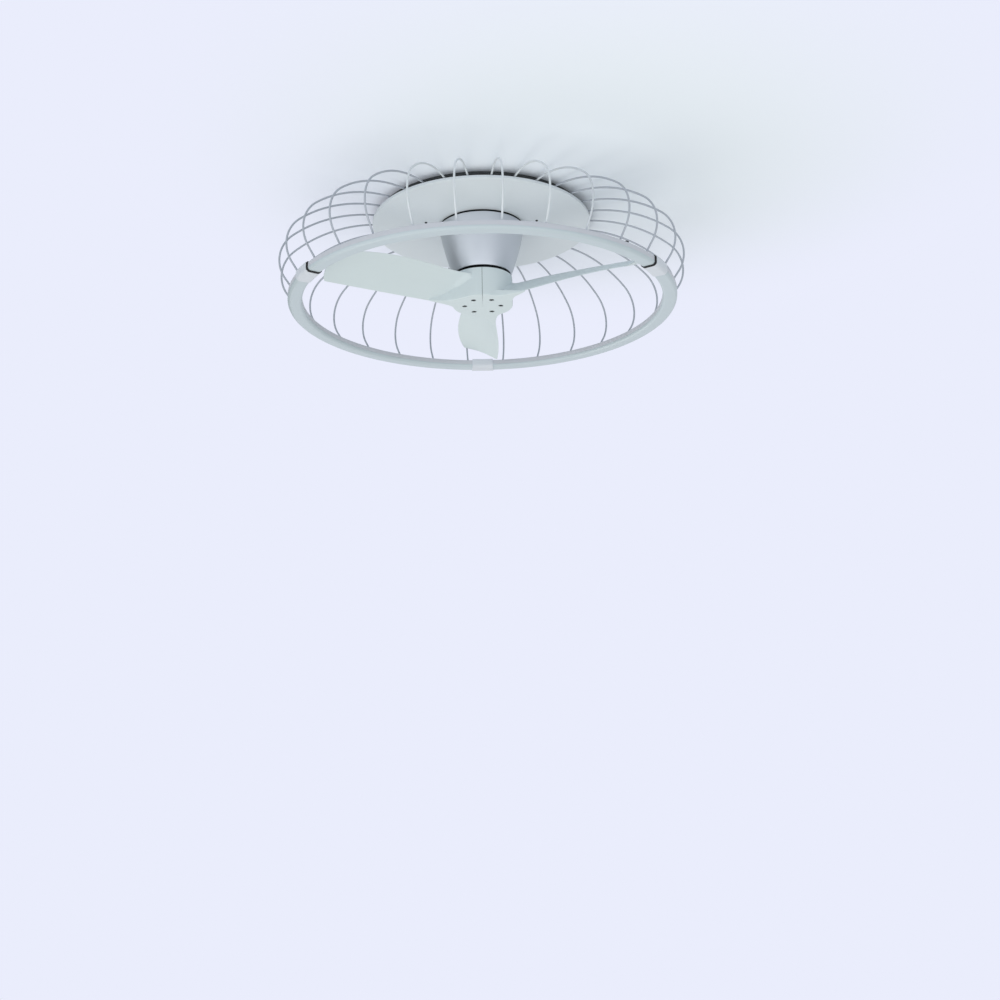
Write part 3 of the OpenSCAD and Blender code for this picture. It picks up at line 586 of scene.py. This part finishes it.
class FAN_OT_housing(bpy.types.Operator):
    """Makes the motor housing: a satin cone that swells a little, with rounded edges."""

    bl_idname = "fan.housing"
    bl_label = "Motor housing"

    def execute(self, context):
        size = context.scene.fan_canopy
        top, foot = size.cover_face - size.housing_gap, low("motor_housing").z
        flare = size.housing_top_radius - size.housing_foot_radius
        wall, lip, parts = 1.6 * MM, 0.7 * MM, 32
        side = []
        for step in range(parts + 1):
            share = step / parts
            across = size.housing_foot_radius + share * flare
            across += size.housing_bulge * 4 * share * (1 - share)
            side.append(Vector((across, foot + share * (top - foot))))
        outer = (
            [side[0] + Vector((-lip, 0)), side[0] + Vector((-0.2 * lip, 0.25 * lip))]
            + side[1:-1]
            + [side[-1] + Vector((-0.2 * lip, -0.25 * lip)), side[-1] + Vector((-lip, 0))]
        )
        inner = [p + Vector((-wall, 0)) for p in reversed(side)]
        housing = solid("motor_housing_skin", [turned(outer + inner, 192)], "housing")
        dressed(housing, "frame", "housing_metal", "motor_housing")
        return {"FINISHED"}


# ---- cage ----


def wire_line(size):
    """Centre line of one wire in the plane of X and Z: level, two bends, then straight."""
    turn = size.foot_turn
    sine, cosine = math.sin(turn), math.cos(turn)
    spare = size.long_bend - size.tight_bend
    foot = high("ring_channel_1").z - size.wire_radius * abs(cosine)
    across = size.foot_radius - size.bend_radius - size.tight_bend * sine
    down = foot - size.start_height + size.long_bend - size.tight_bend * cosine
    half = down * sine - across * cosine
    run = math.sqrt(half * half - across * across - down * down + spare * spare) - half
    split = math.atan2(across - run * cosine, down + run * sine)
    first = Vector((size.bend_radius, size.start_height - size.long_bend))
    second = first + spare * Vector((math.sin(split), math.cos(split)))
    points = [Vector((size.start_radius, size.start_height))]
    for centre, radius, start, stop, parts in (
        (first, size.long_bend, 0.0, split, 26),
        (second, size.tight_bend, split, turn, 40),
    ):
        for step in range(parts):
            at = start + (stop - start) * step / parts
            points.append(centre + radius * Vector((math.sin(at), math.cos(at))))
    bend_end = second + size.tight_bend * Vector((sine, cosine))
    points.append(bend_end)
    points.append(bend_end + run * Vector((cosine, -sine)))
    mesh = bpy.data.meshes.new("wire_line")
    edges = [(i, i + 1) for i in range(len(points) - 1)]
    mesh.from_pydata([(p.x, 0, p.y) for p in points], edges, [])
    return mesh


class FAN_OT_cage(bpy.types.Operator):
    """Sweeps the cage's wires and sets them round the axis."""

    bl_idname = "fan.cage"
    bl_label = "Cage wires"

    def execute(self, context):
        size = context.scene.fan_cage
        tree = wire_tree()
        line = wire_line(size)
        step = 2 * math.pi / size.wire_count
        share = size.wire_count // 6
        sizes = {"Wire Radius": size.wire_radius}
        for part in range(6):
            circle = (share, part * share * step, step)
            wires = grown(f"wires_{part + 1}", line, tree, "wire", sizes, circle, 60)
            dressed(wires, "frame", "wire_paint", f"cage_wires_{part + 1}")
        return {"FINISHED"}


# ---- ring light ----


class FAN_OT_ring(bpy.types.Operator):
    """Makes the ring's three channels, their opal diffusers and the joint sleeves."""

    bl_idname = "fan.ring"
    bl_label = "Ring light"

    def execute(self, context):
        size = context.scene.fan_ring
        inner = size.outer_radius - size.width
        seam = size.top - size.channel_height
        side = inner + size.channel_wall
        under = size.top - size.channel_top
        corners = [
            (inner, size.top, 0.7 * MM),
            (inner, seam, 0.25 * MM),
            (side, seam, 0.2 * MM),
            (side, under, 0.2 * MM),
        ]
        channel = rounded(self.both_sides(size, corners), 3)
        foot = seam - size.diffuser_height
        corners = [(inner, seam - 0.03 * MM, 0.2 * MM), (inner, foot, size.diffuser_round)]
        diffuser = rounded(self.both_sides(size, corners), 10)
        steps, slit = 110, 0.06
        for part, start in enumerate(JOINTS):
            sweep = (JOINTS[(part + 1) % 3] - start) % 360.0
            arc = (steps, start + slit, sweep - 2 * slit)
            metal = solid(f"channel_{part + 1}", [turned(channel, *arc)], "ring")
            dressed(metal, "frame", "ring_paint", f"ring_channel_{part + 1}")
            opal = solid(f"diffuser_{part + 1}", [turned(diffuser, *arc)], "opal")
            dressed(opal, "frame", "opal", f"ring_diffuser_{part + 1}")
        self.sleeves(size, seam)
        self.painted_shade_seals(size, seam)
        return {"FINISHED"}

    def both_sides(self, size, corners):
        """Corners on the ring's inner side, followed by their mirror image on its outer side."""
        across = 2 * size.outer_radius - size.width
        return corners + [(across - x, z, radius) for x, z, radius in reversed(corners)]

    def turn(self, size, distance):
        """Angle in degrees that a distance along the ring's middle takes."""
        return math.degrees(distance / (size.outer_radius - size.width / 2))

    def painted_shade_seals(self, size, seam):
        """Makes the black seals at the two ends of the near arc: black bands that paint the shadow in
        the gap at the sleeves' mouths.
        """
        outline = self.band(size, seam, size.sleeve_proud - 0.5 * MM)
        half = self.turn(size, size.sleeve_length / 2)
        turn = self.turn(size, size.seal_length)
        lap = 0.02
        starts = (JOINTS[1] + half - lap, JOINTS[2] - half + lap - turn)
        shells = [turned(outline, 3, start, turn) for start in starts]
        painted_shade_seals = solid("joint_seals_painted_shade", shells, "rubber_and_painted_shade")
        dressed(painted_shade_seals, "frame", "seal_rubber", "ring_seals")

    def band(self, size, seam, proud):
        """Section of the ring, made larger all round."""
        inner = size.outer_radius - size.width - proud
        foot = seam - size.diffuser_height - proud
        corners = [(inner, size.top + proud, 1.0 * MM), (inner, foot, size.diffuser_round + proud)]
        return rounded(self.both_sides(size, corners), 8)

    def sleeves(self, size, seam):
        """Makes the three sleeves, with rounded edges, that cover the joints."""
        outline = self.band(size, seam, size.sleeve_proud)
        half = self.turn(size, size.sleeve_length / 2 - 0.6 * MM)
        for part, joint in enumerate(JOINTS):
            shell = turned(outline, 14, joint - half, 2 * half)
            sleeve = solid(f"sleeve_{part + 1}", [shell], "sleeve")
            edge = sleeve.modifiers.new("Soft ends", "BEVEL")
            edge.width = 0.5 * MM
            edge.segments = 3
            edge.limit_method = "ANGLE"
            edge.angle_limit = math.radians(60)
            applied(sleeve)
            dressed(sleeve, "frame", "sleeve_paint", f"joint_sleeve_{part + 1}")


# ---- hub and blades ----

# Blade's edges at four evenly spaced places from root to tip, in millimetres
HIGH_SIDE = (31.0, 34.0, 43.8, 36.0)
HIGH_Z = (-116.5, -111.3, -113.5, -122.5)
LOW_SIDE = (-18.0, -21.0, -23.5, -20.5)
LOW_Z = (-147.0, -146.6, -145.7, -147.0)
RECESS_DEPTH = 3.2 * MM


def through(values, share):
    """Smooth curve through four evenly spaced values."""
    a = share * 3
    return (
        -values[0] * (a - 1) * (a - 2) * (a - 3) / 6
        + values[1] * a * (a - 2) * (a - 3) / 2
        - values[2] * a * (a - 1) * (a - 3) / 2
        + values[3] * a * (a - 1) * (a - 2) / 6
    )


def chord(size, share, away):
    """Low and high edge of a blade's section, as (sideways, height)."""
    low_edge = Vector((through(LOW_SIDE, share), through(LOW_Z, share))) * MM
    high_edge = Vector((through(HIGH_SIDE, share), through(HIGH_Z, share))) * MM
    high_edge.y += size.lift * math.exp(-away / (22 * MM))
    return low_edge, high_edge


def section(size, share, away, thin, columns=30):
    """Closed section of a blade: (share of the way across, sideways, height)."""
    low_edge, high_edge = chord(size, share, away)
    along = (high_edge - low_edge).normalized()
    up = Vector((-along.y, along.x))
    flare = 0.0
    if away < size.fillet:
        inside = size.fillet - max(0.0, away)
        flare = size.fillet - math.sqrt(max(0.0, size.fillet**2 - inside**2))
    points = []
    for side in (1, -1):
        for i in range(columns + 1):
            step = i if side > 0 else columns - i
            u = (1 - math.cos(math.pi * step / columns)) / 2
            arch = 1 - (2 * u - 1) ** 2
            round_off = math.sqrt(max(0.0, 1 - abs(2 * u - 1) ** 24))
            half = (size.edge + (size.thickness - size.edge) * arch) / 2 * round_off * thin
            at = low_edge + (high_edge - low_edge) * u
            half += flare * min(1.0, 4 * arch) * (1.0 if side < 0 else 0.4)
            at += up * (size.camber * arch + side * half)
            points.append((u, at.x, at.y))
    return points[: columns + 1] + points[columns + 2 : -1]


def wing(size):
    """Skin of one blade. It grows out of the hub's wall and its tip is rounded."""
    nose, sunk = 1.2 * MM, 1.2 * MM
    root_rows, wing_rows, tip_rows = 14, 48, 5
    wall = size.hub_radius - sunk
    fillet = size.fillet
    reach = size.tip_high - size.hub_radius
    span = reach - fillet - nose
    rows = [(-1.0 * MM, 1.0)]
    rows += [(fillet * (step / root_rows) ** 1.6, 1.0) for step in range(root_rows + 1)]
    rows += [(fillet + span * step / wing_rows, 1.0) for step in range(1, wing_rows + 1)]
    for step in range(1, tip_rows + 1):
        back = 1 - step / tip_rows
        rows.append((reach - nose * back, math.sqrt(max(0.0, 1 - (1 - back) ** 2))))
    corners = []
    for away, thin in rows:
        share = max(0.0, away) / reach
        ring = section(size, share, max(0.0, away), thin)
        for u, side, height in ring:
            from_wall = math.sqrt(max(0.0, wall**2 - side * side))
            tip = size.tip_low + (size.tip_high - size.tip_low) * u
            tip -= (size.tip_round if u < 0.5 else size.tip_sharp) * abs(2 * u - 1) ** 6
            stretch = (tip - from_wall) / (size.tip_high - wall)
            blend = min(1.0, max(0.0, away - fillet) / (0.5 * reach))
            across = from_wall + away * (1 + (stretch - 1) * blend)
            height = min(max(height, size.hub_foot + 0.3 * MM), size.hub_top - 1.0 * MM)
            corners.append((across, side, height))
    return corners, skin_faces(len(rows), len(ring))


# Plan of a blade's lobe under the hub: angle from the blade's line, and radius in millimetres
LOBE = (
    (-60.0, 46.5), (-40.0, 46.5), (-34.0, 47.1), (-30.0, 48.8), (-26.5, 51.4), (-23.5, 54.8),
    (-20.0, 60.6), (-17.0, 68.0), (-14.5, 77.0), (-12.8, 84.5), (-11.8, 87.0), (-10.8, 84.5),
    (-9.4, 75.0), (-7.6, 66.0), (-4.6, 59.4), (0.0, 54.6), (5.0, 51.0), (11.0, 48.4),
    (20.0, 46.9), (30.0, 46.5), (60.0, 46.5),
)


def lobe_radius(turn):
    """Radius of the hub's lower outline at an angle, on a smooth curve through LOBE."""
    last = len(LOBE) - 1
    i = 0
    while i < last - 1 and LOBE[i + 1][0] < turn:
        i += 1
    (a0, r0), (a1, r1) = LOBE[i], LOBE[i + 1]
    before, after = LOBE[max(0, i - 1)], LOBE[min(last, i + 2)]
    flat = abs(r1 - r0) < 0.01
    slope_0 = 0.0 if flat or abs(r0 - before[1]) < 0.01 else (r1 - before[1]) / (a1 - before[0])
    slope_1 = 0.0 if flat or abs(after[1] - r1) < 0.01 else (after[1] - r0) / (after[0] - a0)
    span = a1 - a0
    t = min(1.0, max(0.0, (turn - a0) / span))
    radius = (
        (2 * t**3 - 3 * t**2 + 1) * r0
        + (t**3 - 2 * t**2 + t) * span * slope_0
        + (3 * t**2 - 2 * t**3) * r1
        + (t**3 - t**2) * span * slope_1
    )
    return radius * MM


def lobe_top(size, across, side):
    """Height to which a lobe reaches: the middle of the blade, or a ramp along its low edge."""
    bow, rise, run, soft = 0.84, 9.0 * MM, 41 * MM, 1.5 * MM
    away = max(0.0, across - size.hub_radius)
    share = away / (size.tip_high - size.hub_radius)
    low_edge, high_edge = chord(size, share, away)
    u = (side - low_edge.x) / (high_edge.x - low_edge.x)
    u = min(1.0, max(0.0, u + 0.08 * u * (1 - u)))
    blade = low_edge.y + (high_edge.y - low_edge.y) * u
    blade += size.camber * (1 - (2 * u - 1) ** 2) * bow
    radius = math.hypot(across, side)
    ramp = size.hub_foot + 1.0 * MM
    ramp += rise * max(0.0, 1 - (radius - size.hub_radius) / run)
    gap = max(0.0, soft - abs(blade - ramp)) / soft
    return max(blade, ramp) + gap * gap * soft / 4


def quarter(radius, parts):
    """Points of a quarter circle, from (0, radius) to (radius, 0)."""
    turns = [math.pi / 2 * step / parts for step in range(parts + 1)]
    return [(radius * math.sin(at), radius * math.cos(at)) for at in turns]


def root(size, start, stop, steps=200):
    """Third of the hub: wall, lobe, rounded floor and inside, turned from start to stop."""
    foot, hub, top = size.hub_foot, size.hub_radius, size.hub_top
    inner, floor = hub - size.wall, foot + size.floor
    rim, bore, bend = 0.8 * MM, 0.7 * MM, size.inner_rounding
    corners = []
    for row in range(steps + 1):
        turn = start + (stop - start) * row / steps
        c, s = math.cos(math.radians(turn)), math.sin(math.radians(turn))
        edge = max(hub, lobe_radius(turn))
        line = [(hub - rim + x, top - rim + z) for x, z in quarter(rim, 4)]
        join = lobe_top(size, hub * c, hub * s)
        line += [(hub, top - rim + (join - top + rim) * step / 7) for step in range(1, 7)]
        for step in range(9):
            radius = hub + (edge - hub) * step / 8
            line.append((radius, lobe_top(size, radius * c, radius * s)))
        corner = min(size.rounding, (line[-1][1] - foot) * 0.97)
        line += [(edge - corner + z, foot + corner - x) for x, z in quarter(corner, 12)]
        line += [(bore + (edge - corner - bore) * (1 - k / 5), foot) for k in range(1, 6)]
        line.append((bore, floor))
        line += [(inner - bend + x, floor + bend - z) for x, z in quarter(bend, 4)]
        line.append((inner, top))
        corners += [(radius * c, radius * s, height) for radius, height in line]
    return corners, skin_faces(steps + 1, len(line))


class FAN_OT_blades(bpy.types.Operator):
    """Makes the blades, each with the third of the hub that it carries."""

    bl_idname = "fan.blades"
    bl_label = "Blades and hub"

    def execute(self, context):
        size = context.scene.fan_blades
        wide = math.degrees(size.seam / size.hub_radius) / 2
        tight = math.degrees(0.03 * MM / size.hub_radius)
        for part, joint in enumerate(BLADES):
            start = -60 + (wide if part == 2 else tight)
            stop = 60 - (wide if part == 1 else tight)
            hub = solid(f"root_{part + 1}", [root(size, start, stop)], "blade")
            self.recess(hub, size)
            work = bmesh.new()
            work.from_mesh(hub.data)
            bmesh.ops.recalc_face_normals(work, faces=add_shell(work, *wing(size)))
            mesh = bpy.data.meshes.new(f"blade_skin_{part + 1}")
            work.to_mesh(mesh)
            work.free()
            mesh.transform(Matrix.Rotation(math.radians(joint), 4, "Z"))
            bpy.data.objects.remove(hub)
            blade = shown(f"blade_skin_{part + 1}", mesh, "blade", 50)
            dressed(blade, "rotor", "blade_plastic", f"blade_{part + 1}")
        return {"FINISHED"}

    def recess(self, hub, size):
        """Cuts the two stepped screw holes into a root."""
        for turn in (-30, 30):
            at = math.radians(turn)
            centre = Vector((math.cos(at), math.sin(at), 0)) * size.screw_circle
            centre.z = size.hub_foot
            mouth = (4.1 * MM, -1 * MM, RECESS_DEPTH)
            shank = (1.7 * MM, 1 * MM, size.floor + 1 * MM)
            for radius, from_z, to_z in (mouth, shank):
                outline = [(0, from_z), (radius, from_z), (radius, to_z), (0, to_z)]
                tool = solid("hole_tool", [turned(outline, 36)], "blade")
                tool.data.transform(Matrix.Translation(centre))
                cut = hub.modifiers.new("Hole", "BOOLEAN")
                cut.operation = "DIFFERENCE"
                cut.solver = "EXACT"
                cut.object = tool
                applied(hub)
                bpy.data.objects.remove(tool)


# ---- fasteners ----


def screw_mesh(radius, height, socket):
    """Screw head that faces down, with a rounded edge and a recessed socket."""
    rim = height * 0.35
    socket_end = -height + height * 0.55
    inside = [(0.0, socket_end), (socket, socket_end), (socket, -height)]
    edge = [(radius - rim, -height), (radius - rim * 0.3, -height + rim * 0.3)]
    side = [(radius, -height + rim), (radius, 0.0), (0.0, 0.0)]
    return closed_mesh("screw", [turned(inside + edge + side, 48)])


class FAN_OT_fasteners(bpy.types.Operator):
    """Makes the screws that show: two in the canopy cover and six under the hub."""

    bl_idname = "fan.fasteners"
    bl_label = "Screws"

    def execute(self, context):
        tree = fastener_tree()
        hub, cover = context.scene.fan_blades, context.scene.fan_canopy
        head = screw_mesh(3.9 * MM, 2.6 * MM, 1.5 * MM)
        sizes = {"Circle Radius": hub.screw_circle, "Height": hub.hub_foot + RECESS_DEPTH}
        circle = (6, 0.0, math.radians(60))
        screws = grown("hub_screws", head, tree, "screw", sizes, circle)
        dressed(screws, "rotor", "blade_screw_steel", "blade_screws")
        head = screw_mesh(1.9 * MM, 1.2 * MM, 0.9 * MM)
        sizes = {"Circle Radius": 89 * MM, "Height": cover.cover_face}
        circle = (2, math.radians(194), math.radians(152))
        screws = grown("canopy_screws", head, tree, "screw", sizes, circle)
        dressed(screws, "frame", "cover_screw_steel", "cover_screws")
        return {"FINISHED"}


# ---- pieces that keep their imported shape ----


class FAN_OT_inner(bpy.types.Operator):
    """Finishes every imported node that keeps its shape."""

    bl_idname = "fan.inner"
    bl_label = "Inner pieces"

    def execute(self, context):
        zinc = skin("zinc", linear(186, 188, 190), 0.38, metallic=0.9, patch=0.01, uneven=0.12)
        copper = skin("winding_copper", linear(186, 98, 48), 0.3, 0.9, grain=0.0006, bump=0.5)
        bearing = turned_metal("bearing_steel", linear(205, 207, 210), 0.12, bump=0.02)
        finishes = (
            (zinc, "ceiling_plate base_screws bracket_screws housing_screws"),
            (zinc, "spindle_screws end_plate_screws carrier_screws"),
            # The canopy base is dark as painted shade in the gap above the cover.
            (finish_of("base"), "canopy_base"),
            # Near-black parts, partly painted shade, that are seen through the gaps round the housing
            # and the hub.
            (finish_of("dark_paint_and_painted_shade"), "cage_hoop motor_bracket rotor_cup rotor_end_plate hub_carrier"),
            (finish_of("rubber_and_painted_shade"), "cable_grommet ring_grommet"),
            (skin("led_board", linear(232, 232, 226), 0.5), "led_strip_1 led_strip_2 led_strip_3"),
            (skin("circuit_board", linear(30, 92, 58), 0.35, coat=0.4), "control_board"),
            (skin("module_plastic", linear(34, 36, 40), 0.5, bump=0.2), "board_modules"),
            (skin("terminal_plastic", linear(226, 224, 216), 0.45), "terminal_block"),
            (skin("standoff_brass", linear(196, 160, 84), 0.3, metallic=1.0), "board_standoffs"),
            (turned_metal("ground_steel", linear(168, 170, 174), 0.25), "spindle spindle_clip"),
            (turned_metal("stator_steel", linear(112, 115, 120), 0.45), "stator_core"),
            (copper, "stator_windings"),
            (bearing, "bearing_inner_races bearing_outer_races bearing_balls"),
            (skin("magnet", linear(70, 71, 74), 0.5, metallic=0.3), "rotor_magnets"),
        )
        for material, nodes in finishes:
            for node in nodes.split():
                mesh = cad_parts[node].data
                mesh.materials.clear()
                mesh.materials.append(material)
        return {"FINISHED"}


# ---- stage ----

LAMP_TONE = (1.0, 1.0, 0.97)
CAMERA_LENS = 50.376
CAMERA_PLACE = (0.02095, -2.0458, -0.9411)
CAMERA_TILT = math.radians(90 + 13.289)
CAMERA_ROLL = math.radians(-1.0806)


def lamp(kind, name, place, strength, **settings):
    """A soft lamp that shines from a place towards the fan: a distant SUN, or a near AREA."""
    light = bpy.data.lights.new(name, kind)
    light.energy = strength
    light.color = LAMP_TONE
    for key, value in settings.items():
        setattr(light, key, value)
    holder = linked(name, light)
    holder.location = place
    holder.rotation_euler = (-Vector(place)).to_track_quat("-Z", "Y").to_euler()
    return holder


def stage_sheet(name, corners, faces, material):
    """A sheet that belongs to the stage and not to the fan."""
    mesh = bpy.data.meshes.new(name)
    mesh.from_pydata(corners, [], faces)
    mesh.materials.append(material)
    linked(name, mesh)


def mixed(tree, share, first, second):
    """Mixes two shaders. At a share of 1, only the second shows."""
    sources = {0: share, 1: first.outputs[0], 2: second.outputs[0]}
    return add(tree, "ShaderNodeMixShader", sources)


def ceiling_material(room, shade):
    """Matt paint near the fan, which fades into the plain background, and is clear from above."""
    material, tree, shader = new_material("ceiling")
    put(shader, {"Base Color": (*shade, 1), "Roughness": 0.9, "Specular IOR Level": 0.1})
    plain = add(tree, "ShaderNodeEmission", {"Color": (*room, 1)})
    place = add(tree, "ShaderNodeTexCoord").outputs["Object"]
    middle = {0: place, 1: (0.15, -0.18, 0)}
    away = add(tree, "ShaderNodeVectorMath", middle, operation="DISTANCE").outputs["Value"]
    fade = {"Value": away, "From Min": 0.12, "From Max": 0.68}
    faded = add(tree, "ShaderNodeMapRange", fade, interpolation_type="SMOOTHERSTEP")
    seen = add(tree, "ShaderNodeLightPath").outputs["Is Camera Ray"]
    share = math_node(tree, "MULTIPLY", faded.outputs["Result"], seen)
    paint = mixed(tree, share, shader, plain)
    above = add(tree, "ShaderNodeNewGeometry").outputs["Backfacing"]
    whole = mixed(tree, above, paint, add(tree, "ShaderNodeBsdfTransparent"))
    put(tree.nodes["Material Output"], {"Surface": whole.outputs[0]})
    return material


def card_material():
    """Dark matt card that only glossy rays see."""
    material, tree, shader = new_material("card")
    put(shader, {"Base Color": (0.02, 0.025, 0.03, 1), "Roughness": 0.9})
    gloss = add(tree, "ShaderNodeLightPath").outputs["Is Glossy Ray"]
    share = math_node(tree, "MULTIPLY", gloss, 0.85)
    whole = mixed(tree, share, add(tree, "ShaderNodeBsdfTransparent"), shader)
    put(tree.nodes["Material Output"], {"Surface": whole.outputs[0]})
    return material


class FAN_OT_stage(bpy.types.Operator):
    """Sets the ceiling, the background, the lamps and the camera."""

    bl_idname = "fan.stage"
    bl_label = "Stage"

    def execute(self, context):
        scene = context.scene
        scene.view_settings.view_transform = "Standard"
        room = tuple(scene.fan_colours.room)
        self.ceiling(ceiling_material(room, scene.fan_colours.shade))
        self.background(scene, room)
        lamp("SUN", "key", (-1.4, 1.2, -2.0), 0.6, angle=math.radians(50))
        lamp("SUN", "side", (-2.4, -1.6, -0.5), 0.55, angle=math.radians(60))
        fill = lamp("AREA", "fill", (0.22, -1.4, -1.8), 28, shape="DISK", size=4.0)
        fill.visible_camera = False
        self.card()
        self.camera(scene)
        return {"FINISHED"}

    def ceiling(self, material):
        """A large flat ring that faces down. Its hole lies above the fan's canopy."""
        hole, radius, height, sides = 0.15, 6.0, 0.4 * MM, 96
        turns = [2 * math.pi * i / sides for i in range(sides)]
        corners = [(r * math.cos(t), r * math.sin(t), height) for r in (hole, radius) for t in turns]
        faces = [(i, (i + 1) % sides, sides + (i + 1) % sides, sides + i) for i in range(sides)]
        stage_sheet("ceiling", corners, faces, material)

    def card(self):
        """Dark card at the left of the fan, seen only in gloss, that gives metal its shape."""
        x, near, far, top, foot = -0.5, -0.1, 0.7, -0.002, -0.6
        corners = [(x, near, top), (x, far, top), (x, far, foot), (x, near, foot)]
        stage_sheet("card", corners, [(0, 1, 2, 3)], card_material())

    def background(self, scene, room):
        """Plain background for camera and gloss, and a soft even light for everything else."""
        world = bpy.data.worlds.new("room")
        scene.world = world
        world.use_nodes = True
        tree = world.node_tree
        seen = put(tree.nodes["Background"], {"Color": (*room, 1)})
        soft = {"Color": (0.95, 1.0, 0.97, 1), "Strength": 0.52}
        rays = add(tree, "ShaderNodeLightPath").outputs
        direct = math_node(tree, "MAXIMUM", rays["Is Camera Ray"], rays["Is Glossy Ray"])
        direct = math_node(tree, "MAXIMUM", direct, rays["Is Transmission Ray"])
        whole = mixed(tree, direct, add(tree, "ShaderNodeBackground", soft), seen)
        put(tree.nodes["World Output"], {"Surface": whole.outputs[0]})

    def camera(self, scene):
        """Camera below the fan, looking up at it from the near side."""
        view = bpy.data.cameras.new("camera")
        view.sensor_width = 36
        view.lens = CAMERA_LENS
        view.clip_end = 60
        holder = linked("camera", view)
        tilt = Matrix.Rotation(CAMERA_TILT, 4, "X")
        roll = Matrix.Rotation(CAMERA_ROLL, 4, "Z")
        holder.matrix_world = Matrix.Translation(CAMERA_PLACE) @ tilt @ roll
        scene.camera = holder


# ---- panel and registration ----


class FAN_PT_panel(bpy.types.Panel):
    """Lists the fan's sizes, colours and pieces."""

    bl_idname = "FAN_PT_panel"
    bl_label = "Orbital ceiling fan"
    bl_space_type = "VIEW_3D"
    bl_region_type = "UI"
    bl_category = "Fan"

    def draw(self, context):
        for name in PROPERTY_GROUPS:
            group = getattr(context.scene, name)
            box = self.layout.box()
            for key in group.__annotations__:
                box.prop(group, key)
        for piece in PIECES:
            self.layout.operator(piece.bl_idname)


PIECES = (
    FAN_OT_canopy,
    FAN_OT_housing,
    FAN_OT_cage,
    FAN_OT_ring,
    FAN_OT_blades,
    FAN_OT_fasteners,
    FAN_OT_inner,
    FAN_OT_stage,
)
PROPERTY_GROUPS = {
    "fan_canopy": FanCanopySizes,
    "fan_cage": FanCageSizes,
    "fan_ring": FanRingSizes,
    "fan_blades": FanBladeSizes,
    "fan_colours": FanColours,
}


def register():
    for kind in (*PROPERTY_GROUPS.values(), *PIECES, FAN_PT_panel):
        bpy.utils.register_class(kind)
    for name, kind in PROPERTY_GROUPS.items():
        setattr(bpy.types.Scene, name, PointerProperty(type=kind))


def unregister():
    for name in PROPERTY_GROUPS:
        delattr(bpy.types.Scene, name)
    for kind in reversed((*PROPERTY_GROUPS.values(), *PIECES, FAN_PT_panel)):
        bpy.utils.unregister_class(kind)


def main():
    register()
    bpy.ops.fan.canopy()
    bpy.ops.fan.housing()
    bpy.ops.fan.cage()
    bpy.ops.fan.ring()
    bpy.ops.fan.blades()
    bpy.ops.fan.fasteners()
    bpy.ops.fan.inner()
    bpy.ops.fan.stage()


if __name__ == "__main__":
    main()
